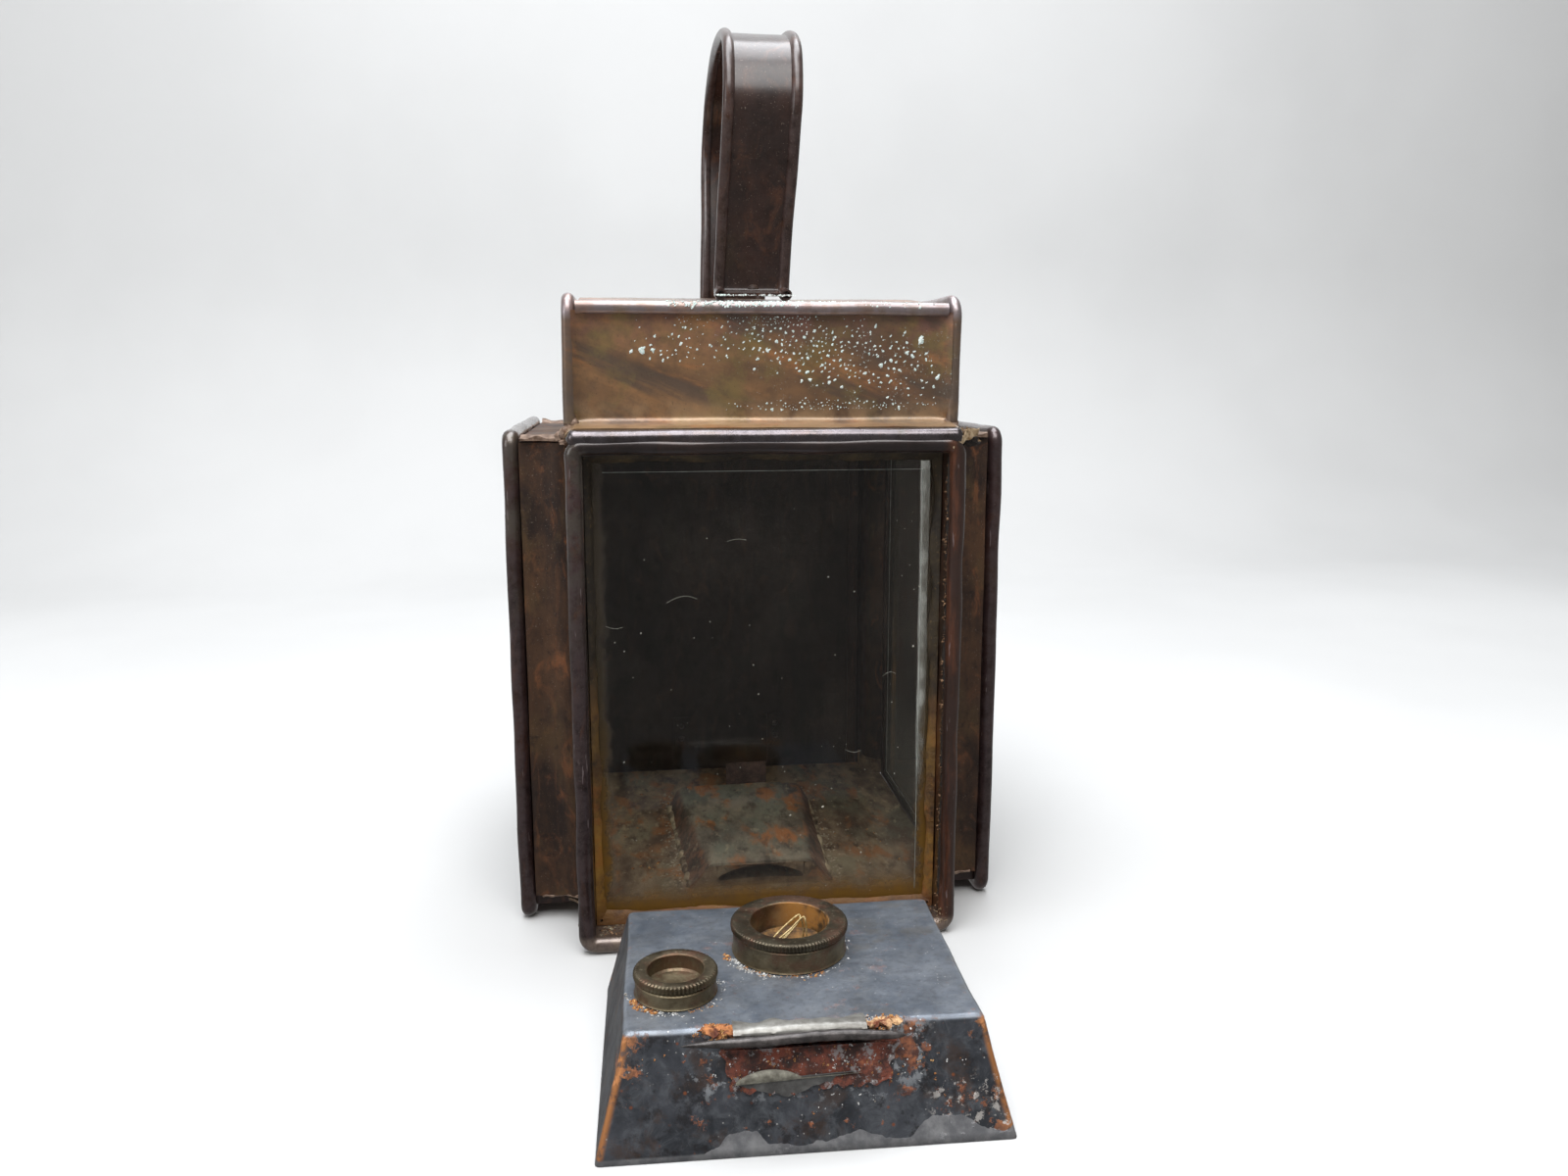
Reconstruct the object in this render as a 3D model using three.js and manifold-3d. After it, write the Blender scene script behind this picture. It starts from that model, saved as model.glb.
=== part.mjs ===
// Square copper hand lamp with a removable oil tank, millimetres, +Z up.
// X runs across the lamp, Y runs from the tank in front to the door behind.
import * as THREE from 'three';
import { mergeVertices } from 'three/addons/utils/BufferGeometryUtils.js';
import Module from 'manifold-3d';

const wasm = await Module();
wasm.setup();

// ---------------------------------------------------------------- driving dimensions

const GAP = 0.3; // clearance between neighbouring sheets
const SHEET = 1; // thickness of the copper sheet

const BODY = { halfX: 94, halfY: 98, centreY: 58.187 }; // outer planes, and the body's place
const FRONT = { width: 141, height: 188 };
const SIDE = { width: 132, height: 189.5 };
const BEAD = 3; // radius of the rolled edge round each window
const JAMB = { wall: 1.2, depth: 18.4, lip: 3 };
const GLASS = { depth: 14.5, thick: 2.6, bevel: 8, drop: 0.8 };
const CEMENT = { width: 4.6, depth: 2.6 };
const COVE = { wall: 70.4, flat: 65, radius: 13, low: 8, high: 184.9 };
const FLOOR = { low: 8, high: 9, holeHalf: 14, holeFront: -30, holeBack: 10 };
const ROOF = { low: 185.2, high: 186.2 };
const CHIMNEY = { radius: 42, wall: 1, top: 222, hole: 40.5 };

const HOOD = {
  halfX: 67.9, // centre of the side rolls
  halfY: 83.4, // middle of the front and rear sheets
  roll: 2.3,
  rollLow: 192.6,
  sideTop: 234.9,
  endTop: 232,
  skirtY: 94.5,
  skirtZ: 190,
  skirtRoll: 1.3,
};
const CROWN = { edge: 230.2, rise: 8.4 };
const VENTS = { z: 218, radius: 3.5, across: [-36, -24, -12, 0, 12, 24, 36] };

const STRAP = { half: 12.4, roll: 2.2, web: 0.6, foot: 40, bulge: 56, crest: 339, lean: 0.04 };
const RIVET = { radius: 2.2, high: 1.6, fromFoot: 6 };

const DUCT = { frontY: -65, backY: 25, frontTop: 18, backTop: 22.5, flare: 10, high: 18 };
const DUCT_TAB = { left: -6, right: 12.7, high: 29.5 };

const HINGE = { x: -73.4, y: 96.7, outer: 2.6, bore: 1.4, pin: 1.1, knuckle: 8, heights: [38, 150] };
const LATCH = {
  x: 67.5, z: 95, thick: 1.5, width: 6, reach: 11, plate: 98.3, arm: 99.6, low: 84, high: 106,
};
const KEEPER = { thick: 1.2, front: 80, back: 104, catch: 101.6, low: 80, shelf: 91, top: 99 };
const DOOR = { panel: 1.2, leafEnd: -56 };
const STRIP = { across: 24, half: 4, thick: 1, low: 10.5, high: 36, rivets: { low: 25, high: 31.5 } };

const TANK = {
  place: [-2.8, -170.45],
  turn: -1.56,
  base: [117, 96.7],
  top: [100.5, 75.8],
  high: 32.5,
  wall: 1,
  baseLevel: 3,
};
const CHANNEL = { half: 35, high: 22.5, depth: 72 };
const BURNER = {
  x: 0.2, y: 6.8, neck: 17.6, neckBore: 13.6, flange: 18.3, hole: 12.1, low: 39.6, high: 42,
};
const FILLER = {
  x: -35.6, y: -16, neck: 11.9, neckBore: 9.7, flange: 12.35, hole: 8.25, low: 37.3, high: 39.7,
};
const PULL = { left: -24, right: 25, lipLeft: -20, lipRight: 16, barY: -43.5, barZ: 31, bar: 1.25 };
const PLATE = { thick: 0.8, top: 29.2, bend: 28, foot: 16.5 };
const TAB = { top: 22, thick: 0.7 };
const WIRE = {
  radius: 0.45,
  tension: 0.2,
  steps: 40,
  knots: [
    [3, -4.5, 35],
    [4.2, -4.2, 43.4],
    [3.4, -3.4, 44],
    [-6.5, -5.5, 35.4],
    [-6, -4.4, 35],
    [1.5, 0.2, 42.2],
    [1.8, 1.2, 41.6],
    [-3.2, -0.6, 36],
  ],
};

// ------------------------------------------------------------------------ materials

const finish = (color, roughness, metalness) =>
  new THREE.MeshStandardMaterial({ color, roughness, metalness });

const copper = () => finish(0x4a3028, 0.5, 0.85);
const darkCopper = () => finish(0x33221d, 0.65, 0.75);
const hoodCopper = () => finish(0x5a3a26, 0.55, 0.8);
const tin = () => finish(0x4c5258, 0.5, 0.8);
const rustyTin = () => finish(0x5b3a2a, 0.75, 0.5);
const brass = () => finish(0x5e5438, 0.5, 0.85);
const cement = () => finish(0x7d5a1e, 0.85, 0);
const strawWire = () => finish(0xa89058, 0.5, 0.6);
const glass = () =>
  new THREE.MeshStandardMaterial({
    color: 0xb9c4bd,
    roughness: 0.08,
    metalness: 0,
    transparent: true,
    opacity: 0.35,
  });

// ------------------------------------------------------------------- solids and joins

function solid(geometry) {
  geometry.deleteAttribute('normal');
  geometry.deleteAttribute('uv');
  const merged = mergeVertices(geometry, 1e-4);
  const vertProperties = new Float32Array(merged.attributes.position.array);
  const triVerts = new Uint32Array(merged.index.array);
  return new wasm.Manifold(new wasm.Mesh({ numProp: 3, vertProperties, triVerts }));
}

const join = (...solids) => solids.reduce((whole, piece) => whole.add(piece));
const cut = (whole, ...holes) => holes.reduce((left, hole) => left.subtract(hole), whole);

// A closed outline (counter-clockwise) carried through stations; place(point, i) puts it in space.
function loft(outline, stations, place, ring = false) {
  const count = outline.length;
  const position = [];
  const index = [];
  for (let i = 0; i < stations; i++) {
    for (const point of outline) position.push(...place(point, i));
  }
  const spans = ring ? stations : stations - 1;
  for (let i = 0; i < spans; i++) {
    const here = i * count;
    const next = ((i + 1) % stations) * count;
    for (let j = 0; j < count; j++) {
      const k = (j + 1) % count;
      index.push(here + j, here + k, next + k, here + j, next + k, next + j);
    }
  }
  if (!ring) {
    const end = (stations - 1) * count;
    const corners = outline.map(([a, b]) => new THREE.Vector2(a, b));
    for (const [a, b, c] of THREE.ShapeUtils.triangulateShape(corners, [])) {
      index.push(a, c, b, end + a, end + b, end + c);
    }
  }
  const geometry = new THREE.BufferGeometry();
  geometry.setAttribute('position', new THREE.Float32BufferAttribute(position, 3));
  geometry.setIndex(index);
  return solid(geometry);
}

// Outlines lie in (x, y) for axis z, (y, z) for axis x and (z, x) for axis y.
const ORDER = {
  x: (a, b, c) => [c, a, b],
  y: (a, b, c) => [b, c, a],
  z: (a, b, c) => [a, b, c],
};
const prism = (outline, axis, from, to) =>
  loft(outline, 2, ([a, b], i) => ORDER[axis](a, b, i ? to : from));

const rectangle = (a0, a1, b0, b1) => [
  [a0, b0],
  [a1, b0],
  [a1, b1],
  [a0, b1],
];
const box = (x0, x1, y0, y1, z0, z1) => prism(rectangle(x0, x1, y0, y1), 'z', z0, z1);

function circle(radius, sides, a = 0, b = 0) {
  return Array.from({ length: sides }, (_, i) => {
    const turn = (2 * Math.PI * (i + 0.5)) / sides;
    return [a + radius * Math.cos(turn), b + radius * Math.sin(turn)];
  });
}
const mirrorOutline = (outline, sa, sb) => {
  const flipped = outline.map(([a, b]) => [a * sa, b * sb]);
  return sa * sb < 0 ? flipped.reverse() : flipped;
};

const heading = (from, to) => {
  const da = to[0] - from[0];
  const db = to[1] - from[1];
  const length = Math.hypot(da, db);
  return [da / length, db / length];
};

// Left-hand mitre vector at each point of a path.
function mitres(path, closed) {
  const count = path.length;
  return path.map((point, i) => {
    const before = closed || i > 0 ? heading(path[(i + count - 1) % count], point) : null;
    const after = closed || i < count - 1 ? heading(point, path[(i + 1) % count]) : null;
    const a = before ?? after;
    const b = after ?? before;
    const scale = 1 / (1 + a[0] * b[0] + a[1] * b[1]);
    return [-(a[1] + b[1]) * scale, (a[0] + b[0]) * scale];
  });
}

// Replaces each corner of a path by an arc.
function rounded(points, radius, steps, closed = false) {
  const count = points.length;
  const path = [];
  points.forEach((point, i) => {
    if (!closed && (i === 0 || i === count - 1)) {
      path.push(point);
      return;
    }
    const a = heading(points[(i + count - 1) % count], point);
    const b = heading(point, points[(i + 1) % count]);
    const turn = Math.atan2(a[0] * b[1] - a[1] * b[0], a[0] * b[0] + a[1] * b[1]);
    const side = Math.sign(turn);
    const back = radius * Math.tan(Math.abs(turn) / 2);
    const centre = [
      point[0] - a[0] * back - a[1] * radius * side,
      point[1] - a[1] * back + a[0] * radius * side,
    ];
    for (let k = 0; k <= steps; k++) {
      const swing = (turn * k) / steps;
      const spoke = [a[1] * radius * side, -a[0] * radius * side];
      path.push([
        centre[0] + spoke[0] * Math.cos(swing) - spoke[1] * Math.sin(swing),
        centre[1] + spoke[0] * Math.sin(swing) + spoke[1] * Math.cos(swing),
      ]);
    }
  });
  return path;
}

// Outline of a sheet of the given thickness bent along an open path.
function ribbon(path, thickness) {
  const normals = mitres(path, false);
  const side = (s) => path.map((p, i) => [p[0] + normals[i][0] * s, p[1] + normals[i][1] * s]);
  return [...side(-thickness / 2), ...side(thickness / 2).reverse()];
}

// A section (offset to the left of the path, offset along the axis) carried along a flat path.
function sweep(section, path, axis, closed = false) {
  const normals = mitres(path, closed);
  const place = ([a, b], i) =>
    ORDER[axis](path[i][0] + normals[i][0] * a, path[i][1] + normals[i][1] * a, b);
  return loft(section, path.length, place, closed);
}

// Turns and moves a finished solid.
function placed(shape, { turnZ = 0, move = [0, 0, 0] }) {
  const mesh = shape.getMesh();
  const geometry = new THREE.BufferGeometry();
  const position = new Float32Array(mesh.vertProperties);
  geometry.setAttribute('position', new THREE.BufferAttribute(position, 3));
  geometry.setIndex([...mesh.triVerts]);
  geometry.rotateZ(THREE.MathUtils.degToRad(turnZ));
  geometry.translate(...move);
  return solid(geometry);
}

// ------------------------------------------------------------------------ scene graph

function piece(group, name, shape, material) {
  const mesh = shape.getMesh();
  const indexed = new THREE.BufferGeometry();
  indexed.setAttribute('position', new THREE.BufferAttribute(mesh.vertProperties, 3));
  indexed.setIndex(new THREE.BufferAttribute(mesh.triVerts, 1));
  const geometry = indexed.toNonIndexed();
  geometry.computeVertexNormals();
  const part = new THREE.Mesh(geometry, material);
  part.name = name;
  group.add(part);
}

const lamp = new THREE.Group();
lamp.position.y = BODY.centreY;

// ---------------------------------------------------------------------- window frames

// Built facing -Y with the outer plane at y = 0; x across, z up.
function windowFrame({ width, height }) {
  const half = width / 2;
  const inner = half - 2 * BEAD;
  const outer = inner + JAMB.wall;
  const sill = 2 * BEAD;
  const head = height - 2 * BEAD;
  const path = rounded(rectangle(BEAD, height - BEAD, BEAD - half, half - BEAD), BEAD + 0.5, 3, true);
  const bead = sweep(circle(BEAD / Math.cos(Math.PI / 12), 12, 0, BEAD), path, 'y', true);
  const jamb = cut(
    box(-outer, outer, BEAD - 0.5, JAMB.depth, sill - JAMB.wall, head + JAMB.wall),
    box(-inner, inner, 0, JAMB.depth - 1, sill, head),
    box(JAMB.lip - inner, inner - JAMB.lip, 0, JAMB.depth + 1, sill + JAMB.lip, head - JAMB.lip),
  );
  return join(bead, jamb);
}

// Pane with a bevelled border on its outer face.
function pane({ width, height }) {
  const half = width / 2 - 2 * BEAD - GAP;
  const low = 2 * BEAD + GAP;
  const high = height - low;
  const rings = [
    [GLASS.bevel, GLASS.depth],
    [0, GLASS.depth + GLASS.drop],
    [0, GLASS.depth + GLASS.thick],
  ];
  const middle = (low + high) / 2;
  const place = ([z, x], i) => {
    const [inset, depth] = rings[i];
    return [x - Math.sign(x) * inset, depth, z - Math.sign(z - middle) * inset];
  };
  return loft(rectangle(low, high, -half, half), rings.length, place);
}

// Fillet of glazing cement between the pane and the frame.
function glazing({ width, height }) {
  const half = width / 2 - 2 * BEAD - GAP;
  const low = 2 * BEAD + GAP;
  const back = GLASS.depth + GLASS.drop - 1.1;
  const section = [
    [0, back - CEMENT.depth],
    [CEMENT.width, back - 0.9],
    [CEMENT.width, back],
    [0, back],
  ];
  return sweep(section, rectangle(low, height - low, -half, half), 'y', true);
}

const walls = [
  { name: 'front', size: FRONT, reach: BODY.halfY, turn: 0 },
  { name: 'right', size: SIDE, reach: BODY.halfX, turn: 90 },
  { name: 'left', size: SIDE, reach: BODY.halfX, turn: -90 },
];
function onWall(shape, { reach, turn }) {
  return placed(placed(shape, { move: [0, -reach, 0] }), { turnZ: turn });
}

for (const wall of walls) {
  piece(lamp, wall.name + '_frame', onWall(windowFrame(wall.size), wall), copper());
  piece(lamp, wall.name + '_glass', onWall(pane(wall.size), wall), glass());
  piece(lamp, wall.name + '_cement', onWall(glazing(wall.size), wall), cement());
}

// ------------------------------------------------------------- coves, floor and roof

// Path of the re-entrant corner, at +x and +y, shifted outwards by the offset.
function covePath(offset, endY, endX) {
  const wall = COVE.wall + offset;
  const flat = COVE.flat + offset;
  return rounded(
    [
      [wall, endY],
      [wall, flat],
      [endX, flat],
    ],
    COVE.radius - offset,
    6,
  );
}

const corners = [
  ['front_left', -1, -1],
  ['front_right', 1, -1],
  ['rear_left', -1, 1],
  ['rear_right', 1, 1],
];
const beadInnerY = BODY.halfY - 2 * BEAD - GAP;
const beadInnerX = BODY.halfX - 2 * BEAD - GAP;

for (const [name, sx, sy] of corners) {
  const path = covePath(-SHEET / 2, beadInnerY, beadInnerX);
  const outline = mirrorOutline(ribbon(path, SHEET), sx, sy);
  piece(lamp, 'cove_' + name, prism(outline, 'z', COVE.low, COVE.high), copper());
}

// Plan of a plate that follows the four coves.
function crossOutline(offset, endY, endX) {
  const quarter = covePath(offset, endY, endX).reverse();
  return [
    ...quarter,
    ...mirrorOutline(quarter, -1, 1),
    ...mirrorOutline(quarter, -1, -1),
    ...mirrorOutline(quarter, 1, -1),
  ];
}

const frameInnerY = BODY.halfY - JAMB.depth - 0.4;
const frameInnerX = BODY.halfX - JAMB.depth - GAP;

const floorPlan = prism(crossOutline(-SHEET - 0.4, beadInnerY, beadInnerX), 'z', FLOOR.low, FLOOR.high);
const floorReach = box(-frameInnerX, frameInnerX, -frameInnerY, frameInnerY, 0, FLOOR.high + 1);
const airHole = box(
  -FLOOR.holeHalf,
  FLOOR.holeHalf,
  FLOOR.holeFront,
  FLOOR.holeBack,
  FLOOR.low - 1,
  FLOOR.high + 1,
);
piece(lamp, 'floor_plate', cut(floorPlan.intersect(floorReach), airHole), rustyTin());

const roofPlan = prism(crossOutline(-0.2, beadInnerY, beadInnerX), 'z', ROOF.low, ROOF.high);
const chimneyHole = prism(circle(CHIMNEY.hole, 32), 'z', ROOF.low - 1, ROOF.high + 1);
piece(lamp, 'roof_plate', cut(roofPlan, chimneyHole), copper());

// Raised air duct over the hole in the floor, open at the front under a low arch.
function airDuct() {
  const shell = (inset) => {
    const ends = [
      { y: DUCT.frontY - (inset ? 1 : 0), half: DUCT.frontTop - inset },
      { y: DUCT.backY - inset, half: DUCT.backTop - inset },
    ];
    const low = FLOOR.high + GAP - (inset ? 1 : 0);
    const place = ([up, side], i) => [
      side * (ends[i].half + (1 - up) * DUCT.flare),
      ends[i].y,
      up ? DUCT.high - inset : low,
    ];
    return loft(rectangle(0, 1, -1, 1), 2, place);
  };
  const mouthHalf = DUCT.frontTop - 2;
  const mouthLow = FLOOR.high + 3;
  const crown = Array.from({ length: 7 }, (_, i) => {
    const across = mouthHalf * (1 - i / 3);
    return [DUCT.high - 1.5 - 2.5 * (across / mouthHalf) ** 2, across];
  });
  const arch = [[mouthLow, mouthHalf], ...crown, [mouthLow, -mouthHalf]];
  const mouth = prism(arch.reverse(), 'y', -70, -60);
  const sill = box(-26, 26, DUCT.frontY, DUCT.frontY + 1, FLOOR.high + GAP, DUCT.high - 0.5);
  const tab = box(DUCT_TAB.left, DUCT_TAB.right, DUCT.backY - 0.5, DUCT.backY + 0.5, 12, DUCT_TAB.high);
  const hump = cut(shell(0), shell(SHEET));
  const front = cut(shell(0).intersect(sill), mouth);
  return join(hump, front, tab);
}
piece(lamp, 'air_duct', airDuct(), rustyTin());

// ------------------------------------------------------------------------------- hood

function hoodEnd(sign, vents) {
  const half = HOOD.halfX - HOOD.roll - GAP;
  const sheetPath = rounded(
    [
      [-HOOD.halfY, HOOD.endTop - 1],
      [-HOOD.halfY, HOOD.skirtZ],
      [-HOOD.skirtY, HOOD.skirtZ],
    ],
    4,
    4,
  );
  const skirtPath = [
    [-HOOD.halfY - 0.8, HOOD.skirtZ],
    [-HOOD.skirtY, HOOD.skirtZ],
  ];
  const skirtHalf = FRONT.width / 2 - 0.5;
  const outlines = [
    [ribbon(sheetPath, SHEET), half],
    [ribbon(skirtPath, SHEET), skirtHalf],
    [circle(HOOD.roll, 10, -HOOD.halfY - 1.6, HOOD.endTop), half],
    [circle(HOOD.skirtRoll, 8, -HOOD.skirtY, HOOD.skirtZ), skirtHalf],
  ];
  const solids = outlines.map(([outline, reach]) =>
    prism(mirrorOutline(outline, -sign, 1), 'x', -reach, reach),
  );
  const holes = vents.map((x) =>
    prism(circle(VENTS.radius, 12, VENTS.z, x), 'y', HOOD.halfY - 4, HOOD.halfY + 4),
  );
  return cut(join(...solids), ...holes);
}

function hoodSide(sign) {
  const sheetX = HOOD.halfX + 1;
  const back = HOOD.halfY + 1.1;
  const arch = rounded(
    [
      [-back, HOOD.rollLow],
      [-back, HOOD.sideTop],
      [back, HOOD.sideTop],
      [back, HOOD.rollLow],
    ],
    5,
    4,
  );
  const depth = HOOD.halfY - SHEET / 2 - GAP;
  const foot = ROOF.high + GAP;
  const roll = sweep(circle(HOOD.roll, 10, 0, sign * HOOD.halfX), arch, 'x');
  const low = HOOD.rollLow + 1;
  const sheetOutline = [
    [-depth, foot],
    [depth, foot],
    [depth, low],
    [back, low],
    [back, HOOD.sideTop - 4],
    [back - 4, HOOD.sideTop],
    [4 - back, HOOD.sideTop],
    [-back, HOOD.sideTop - 4],
    [-back, low],
    [-depth, low],
  ];
  const span = [sign * (sheetX - SHEET / 2), sign * (sheetX + SHEET / 2)].sort((a, b) => a - b);
  const flange = [sign * (sheetX - SHEET / 2), sign * (sheetX + 5)].sort((a, b) => a - b);
  return join(
    roll,
    prism(sheetOutline, 'x', ...span),
    box(...flange, 4 - COVE.flat, COVE.flat - 4, foot, foot + SHEET),
  );
}

function hoodRoof() {
  const reach = HOOD.halfY - SHEET / 2 - GAP;
  const steps = 12;
  const path = Array.from({ length: steps + 1 }, (_, i) => {
    const y = reach * (2 * (i / steps) - 1);
    return [y, CROWN.edge + CROWN.rise * (1 - (y / reach) ** 2)];
  });
  const half = HOOD.halfX - HOOD.roll - GAP;
  return prism(ribbon(path, SHEET), 'x', -half, half);
}

piece(lamp, 'hood_front', hoodEnd(-1, []), hoodCopper());
piece(lamp, 'hood_rear', hoodEnd(1, VENTS.across), hoodCopper());
piece(lamp, 'hood_left', hoodSide(-1), hoodCopper());
piece(lamp, 'hood_right', hoodSide(1), hoodCopper());
piece(lamp, 'hood_roof', hoodRoof(), hoodCopper());

const chimney = cut(
  prism(circle(CHIMNEY.radius, 32), 'z', ROOF.high + GAP, CHIMNEY.top),
  prism(circle(CHIMNEY.radius - CHIMNEY.wall, 32), 'z', ROOF.high - 1, CHIMNEY.top + 1),
);
piece(lamp, 'inner_chimney', chimney, darkCopper());

// ----------------------------------------------------------------------------- handle

const crownAt = (y) => {
  const reach = HOOD.halfY - SHEET / 2 - GAP;
  return CROWN.edge + CROWN.rise * (1 - (y / reach) ** 2) + SHEET / 2;
};
const footLevel = crownAt(STRAP.foot) + STRAP.roll + GAP;

function strapSection() {
  const join0 = Math.asin(STRAP.web / STRAP.roll);
  const steps = 7;
  const roll = (side) =>
    Array.from({ length: steps + 1 }, (_, i) => {
      const turn = (side > 0 ? 0 : Math.PI) + (Math.PI - join0) * ((2 * i) / steps - 1);
      return [STRAP.roll * Math.sin(turn), side * STRAP.half + STRAP.roll * Math.cos(turn)];
    });
  return [...roll(1), ...roll(-1)].reverse();
}

function handleStrap() {
  const half = [
    [STRAP.foot + 9, footLevel + 0.2],
    [STRAP.foot + 2, footLevel + 0.5],
    [STRAP.foot - 0.5, footLevel + 4.5],
    [STRAP.foot + 5.5, footLevel + 32],
    [STRAP.bulge - 1.5, 296],
    [STRAP.bulge, 311],
    [STRAP.bulge - 9, 327],
    [STRAP.bulge - 30, STRAP.crest - 3],
  ];
  const knots = [
    ...half.map(([y, z]) => new THREE.Vector2(-y, z)),
    new THREE.Vector2(0, STRAP.crest),
    ...[...half].reverse().map(([y, z]) => new THREE.Vector2(y, z)),
  ];
  const path = new THREE.SplineCurve(knots).getPoints(44).map((p) => [p.x, p.y]);
  const normals = mitres(path, false);
  const place = ([a, b], i) => {
    const z = path[i][1] + normals[i][1] * a;
    return [b + STRAP.lean * (z - footLevel), path[i][0] + normals[i][0] * a, z];
  };
  return loft(strapSection(), path.length, place);
}
piece(lamp, 'handle_strap', handleStrap(), copper());

// Domed rivet head, flat side down, on a vertical axis.
function rivet(radius, high) {
  const rings = [
    [radius, 0],
    [radius * 0.85, high * 0.6],
    [radius * 0.4, high],
  ];
  const outline = circle(1, 10);
  return loft(outline, rings.length, ([a, b], i) => [a * rings[i][0], b * rings[i][0], rings[i][1]]);
}
for (const [name, side] of [['front', -1], ['rear', 1]]) {
  const y = STRAP.foot + RIVET.fromFoot;
  const head = rivet(RIVET.radius, RIVET.high);
  const at = { move: [0, side * y, footLevel + STRAP.web + 2 * GAP] };
  piece(lamp, 'handle_rivet_' + name, placed(head, at), darkCopper());
}

// ----------------------------------------------------------------- hinges and keeper

const knuckleRow = (z, from, to) =>
  cut(
    prism(circle(HINGE.outer, 12, HINGE.x, HINGE.y), 'z', z + from, z + to),
    prism(circle(HINGE.bore, 12, HINGE.x, HINGE.y), 'z', z + from - 1, z + to + 1),
  );

HINGE.heights.forEach((z, i) => {
  const name = ['low', 'high'][i];
  const third = HINGE.knuckle / 2;
  const end = HINGE.knuckle * 1.5;
  const leafX = HINGE.x + HINGE.outer;
  const leaf = cut(
    box(leafX - 0.8, leafX, 81, HINGE.y, z - end, z + end),
    box(
      leafX - 2, leafX + 1,
      HINGE.y - HINGE.outer - 0.6, HINGE.y + 4,
      z - third - GAP, z + third + GAP,
    ),
  );
  const fixedKnuckles = [knuckleRow(z, -end, -third - GAP), knuckleRow(z, third + GAP, end)];
  const clearBore = prism(circle(HINGE.bore, 12, HINGE.x, HINGE.y), 'z', z - end - 1, z + end + 1);
  piece(lamp, 'hinge_leaf_' + name, cut(join(leaf, ...fixedKnuckles), clearBore), darkCopper());
  const pin = prism(circle(HINGE.pin, 10, HINGE.x, HINGE.y), 'z', z - end - 0.8, z + end + 0.8);
  piece(lamp, 'hinge_pin_' + name, pin, darkCopper());
});

const keeper = prism(
  [
    [KEEPER.front, KEEPER.low],
    [KEEPER.back, KEEPER.low],
    [KEEPER.back, KEEPER.top],
    [KEEPER.catch, KEEPER.top],
    [KEEPER.catch, KEEPER.shelf],
    [KEEPER.front, KEEPER.shelf],
  ],
  'x',
  COVE.wall + SHEET / 2,
  COVE.wall + SHEET / 2 + KEEPER.thick,
);
piece(lamp, 'latch_keeper', keeper, darkCopper());

// ------------------------------------------------------------------------------- door

const door = new THREE.Group();
lamp.add(door);
const rear = { reach: BODY.halfY, turn: 180 };
piece(door, 'door_frame', onWall(windowFrame(FRONT), rear), copper());

const panelInner = BODY.halfY - GLASS.depth - DOOR.panel;
const panelHalf = FRONT.width / 2 - 2 * BEAD - GAP;
const panelLow = 2 * BEAD + GAP;
const panelHigh = FRONT.height - panelLow;
const panel = box(-panelHalf, panelHalf, panelInner, panelInner + DOOR.panel, panelLow, panelHigh);
piece(door, 'door_panel', panel, darkCopper());

// Two upright stiffening strips riveted inside the door.
for (const [name, x] of [['left', -STRIP.across], ['right', STRIP.across]]) {
  const back = panelInner - GAP;
  const face = back - STRIP.thick;
  const strip = box(x - STRIP.half, x + STRIP.half, face, back, STRIP.low, STRIP.high);
  piece(door, 'door_strip_' + name, strip, darkCopper());
  for (const [level, z] of Object.entries(STRIP.rivets)) {
    const outline = circle(1, 8, z, x);
    const rings = [
      [0.8, face - 1.3],
      [1.6, face - GAP],
    ];
    const place = ([a, b], i) => [x + (b - x) * rings[i][0], rings[i][1], z + (a - z) * rings[i][0]];
    piece(door, 'door_rivet_' + name + '_' + level, loft(outline, 2, place), darkCopper());
  }
}

HINGE.heights.forEach((z, i) => {
  const name = ['low', 'high'][i];
  const half = HINGE.knuckle / 2;
  const top = HINGE.y + HINGE.outer;
  const leaf = box(HINGE.x, DOOR.leafEnd, top - 1, top, z - half, z + half);
  const clearBore = prism(circle(HINGE.bore, 12, HINGE.x, HINGE.y), 'z', z - half - 1, z + half + 1);
  piece(door, 'door_leaf_' + name, cut(join(leaf, knuckleRow(z, -half, half)), clearBore), darkCopper());
});

const latchPlate = box(
  LATCH.x - 2.7,
  LATCH.x + 2.7,
  LATCH.plate,
  LATCH.plate + SHEET,
  LATCH.low,
  LATCH.high,
);
piece(door, 'latch_plate', latchPlate, darkCopper());
const latchPin = join(
  prism(circle(1.5, 12, LATCH.z, LATCH.x), 'y', LATCH.arm, LATCH.arm + LATCH.thick + 1),
  prism(
    circle(2.8, 12, LATCH.z, LATCH.x), 'y',
    LATCH.arm + LATCH.thick + GAP, LATCH.arm + LATCH.thick + 1.5,
  ),
);
piece(door, 'latch_rivet', latchPin, darkCopper());

// Turn-button, standing upright in its open position.
const armSide = rectangle(-LATCH.width / 2, LATCH.width / 2, 0, LATCH.reach);
const armOutline = armSide.map(([x, z]) => [z + LATCH.z, x + LATCH.x]).reverse();
const button = cut(
  join(
    prism(circle(4, 16, LATCH.z, LATCH.x), 'y', LATCH.arm, LATCH.arm + LATCH.thick),
    prism(armOutline, 'y', LATCH.arm, LATCH.arm + LATCH.thick),
  ),
  prism(circle(1.9, 12, LATCH.z, LATCH.x), 'y', LATCH.arm - 1, LATCH.arm + LATCH.thick + 1),
);
piece(door, 'latch_button', button, darkCopper());

// --------------------------------------------------------------------------- oil tank

const tank = new THREE.Group();
tank.position.set(TANK.place[0], TANK.place[1], 0);
tank.rotation.z = THREE.MathUtils.degToRad(TANK.turn);
lamp.add(tank);

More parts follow.
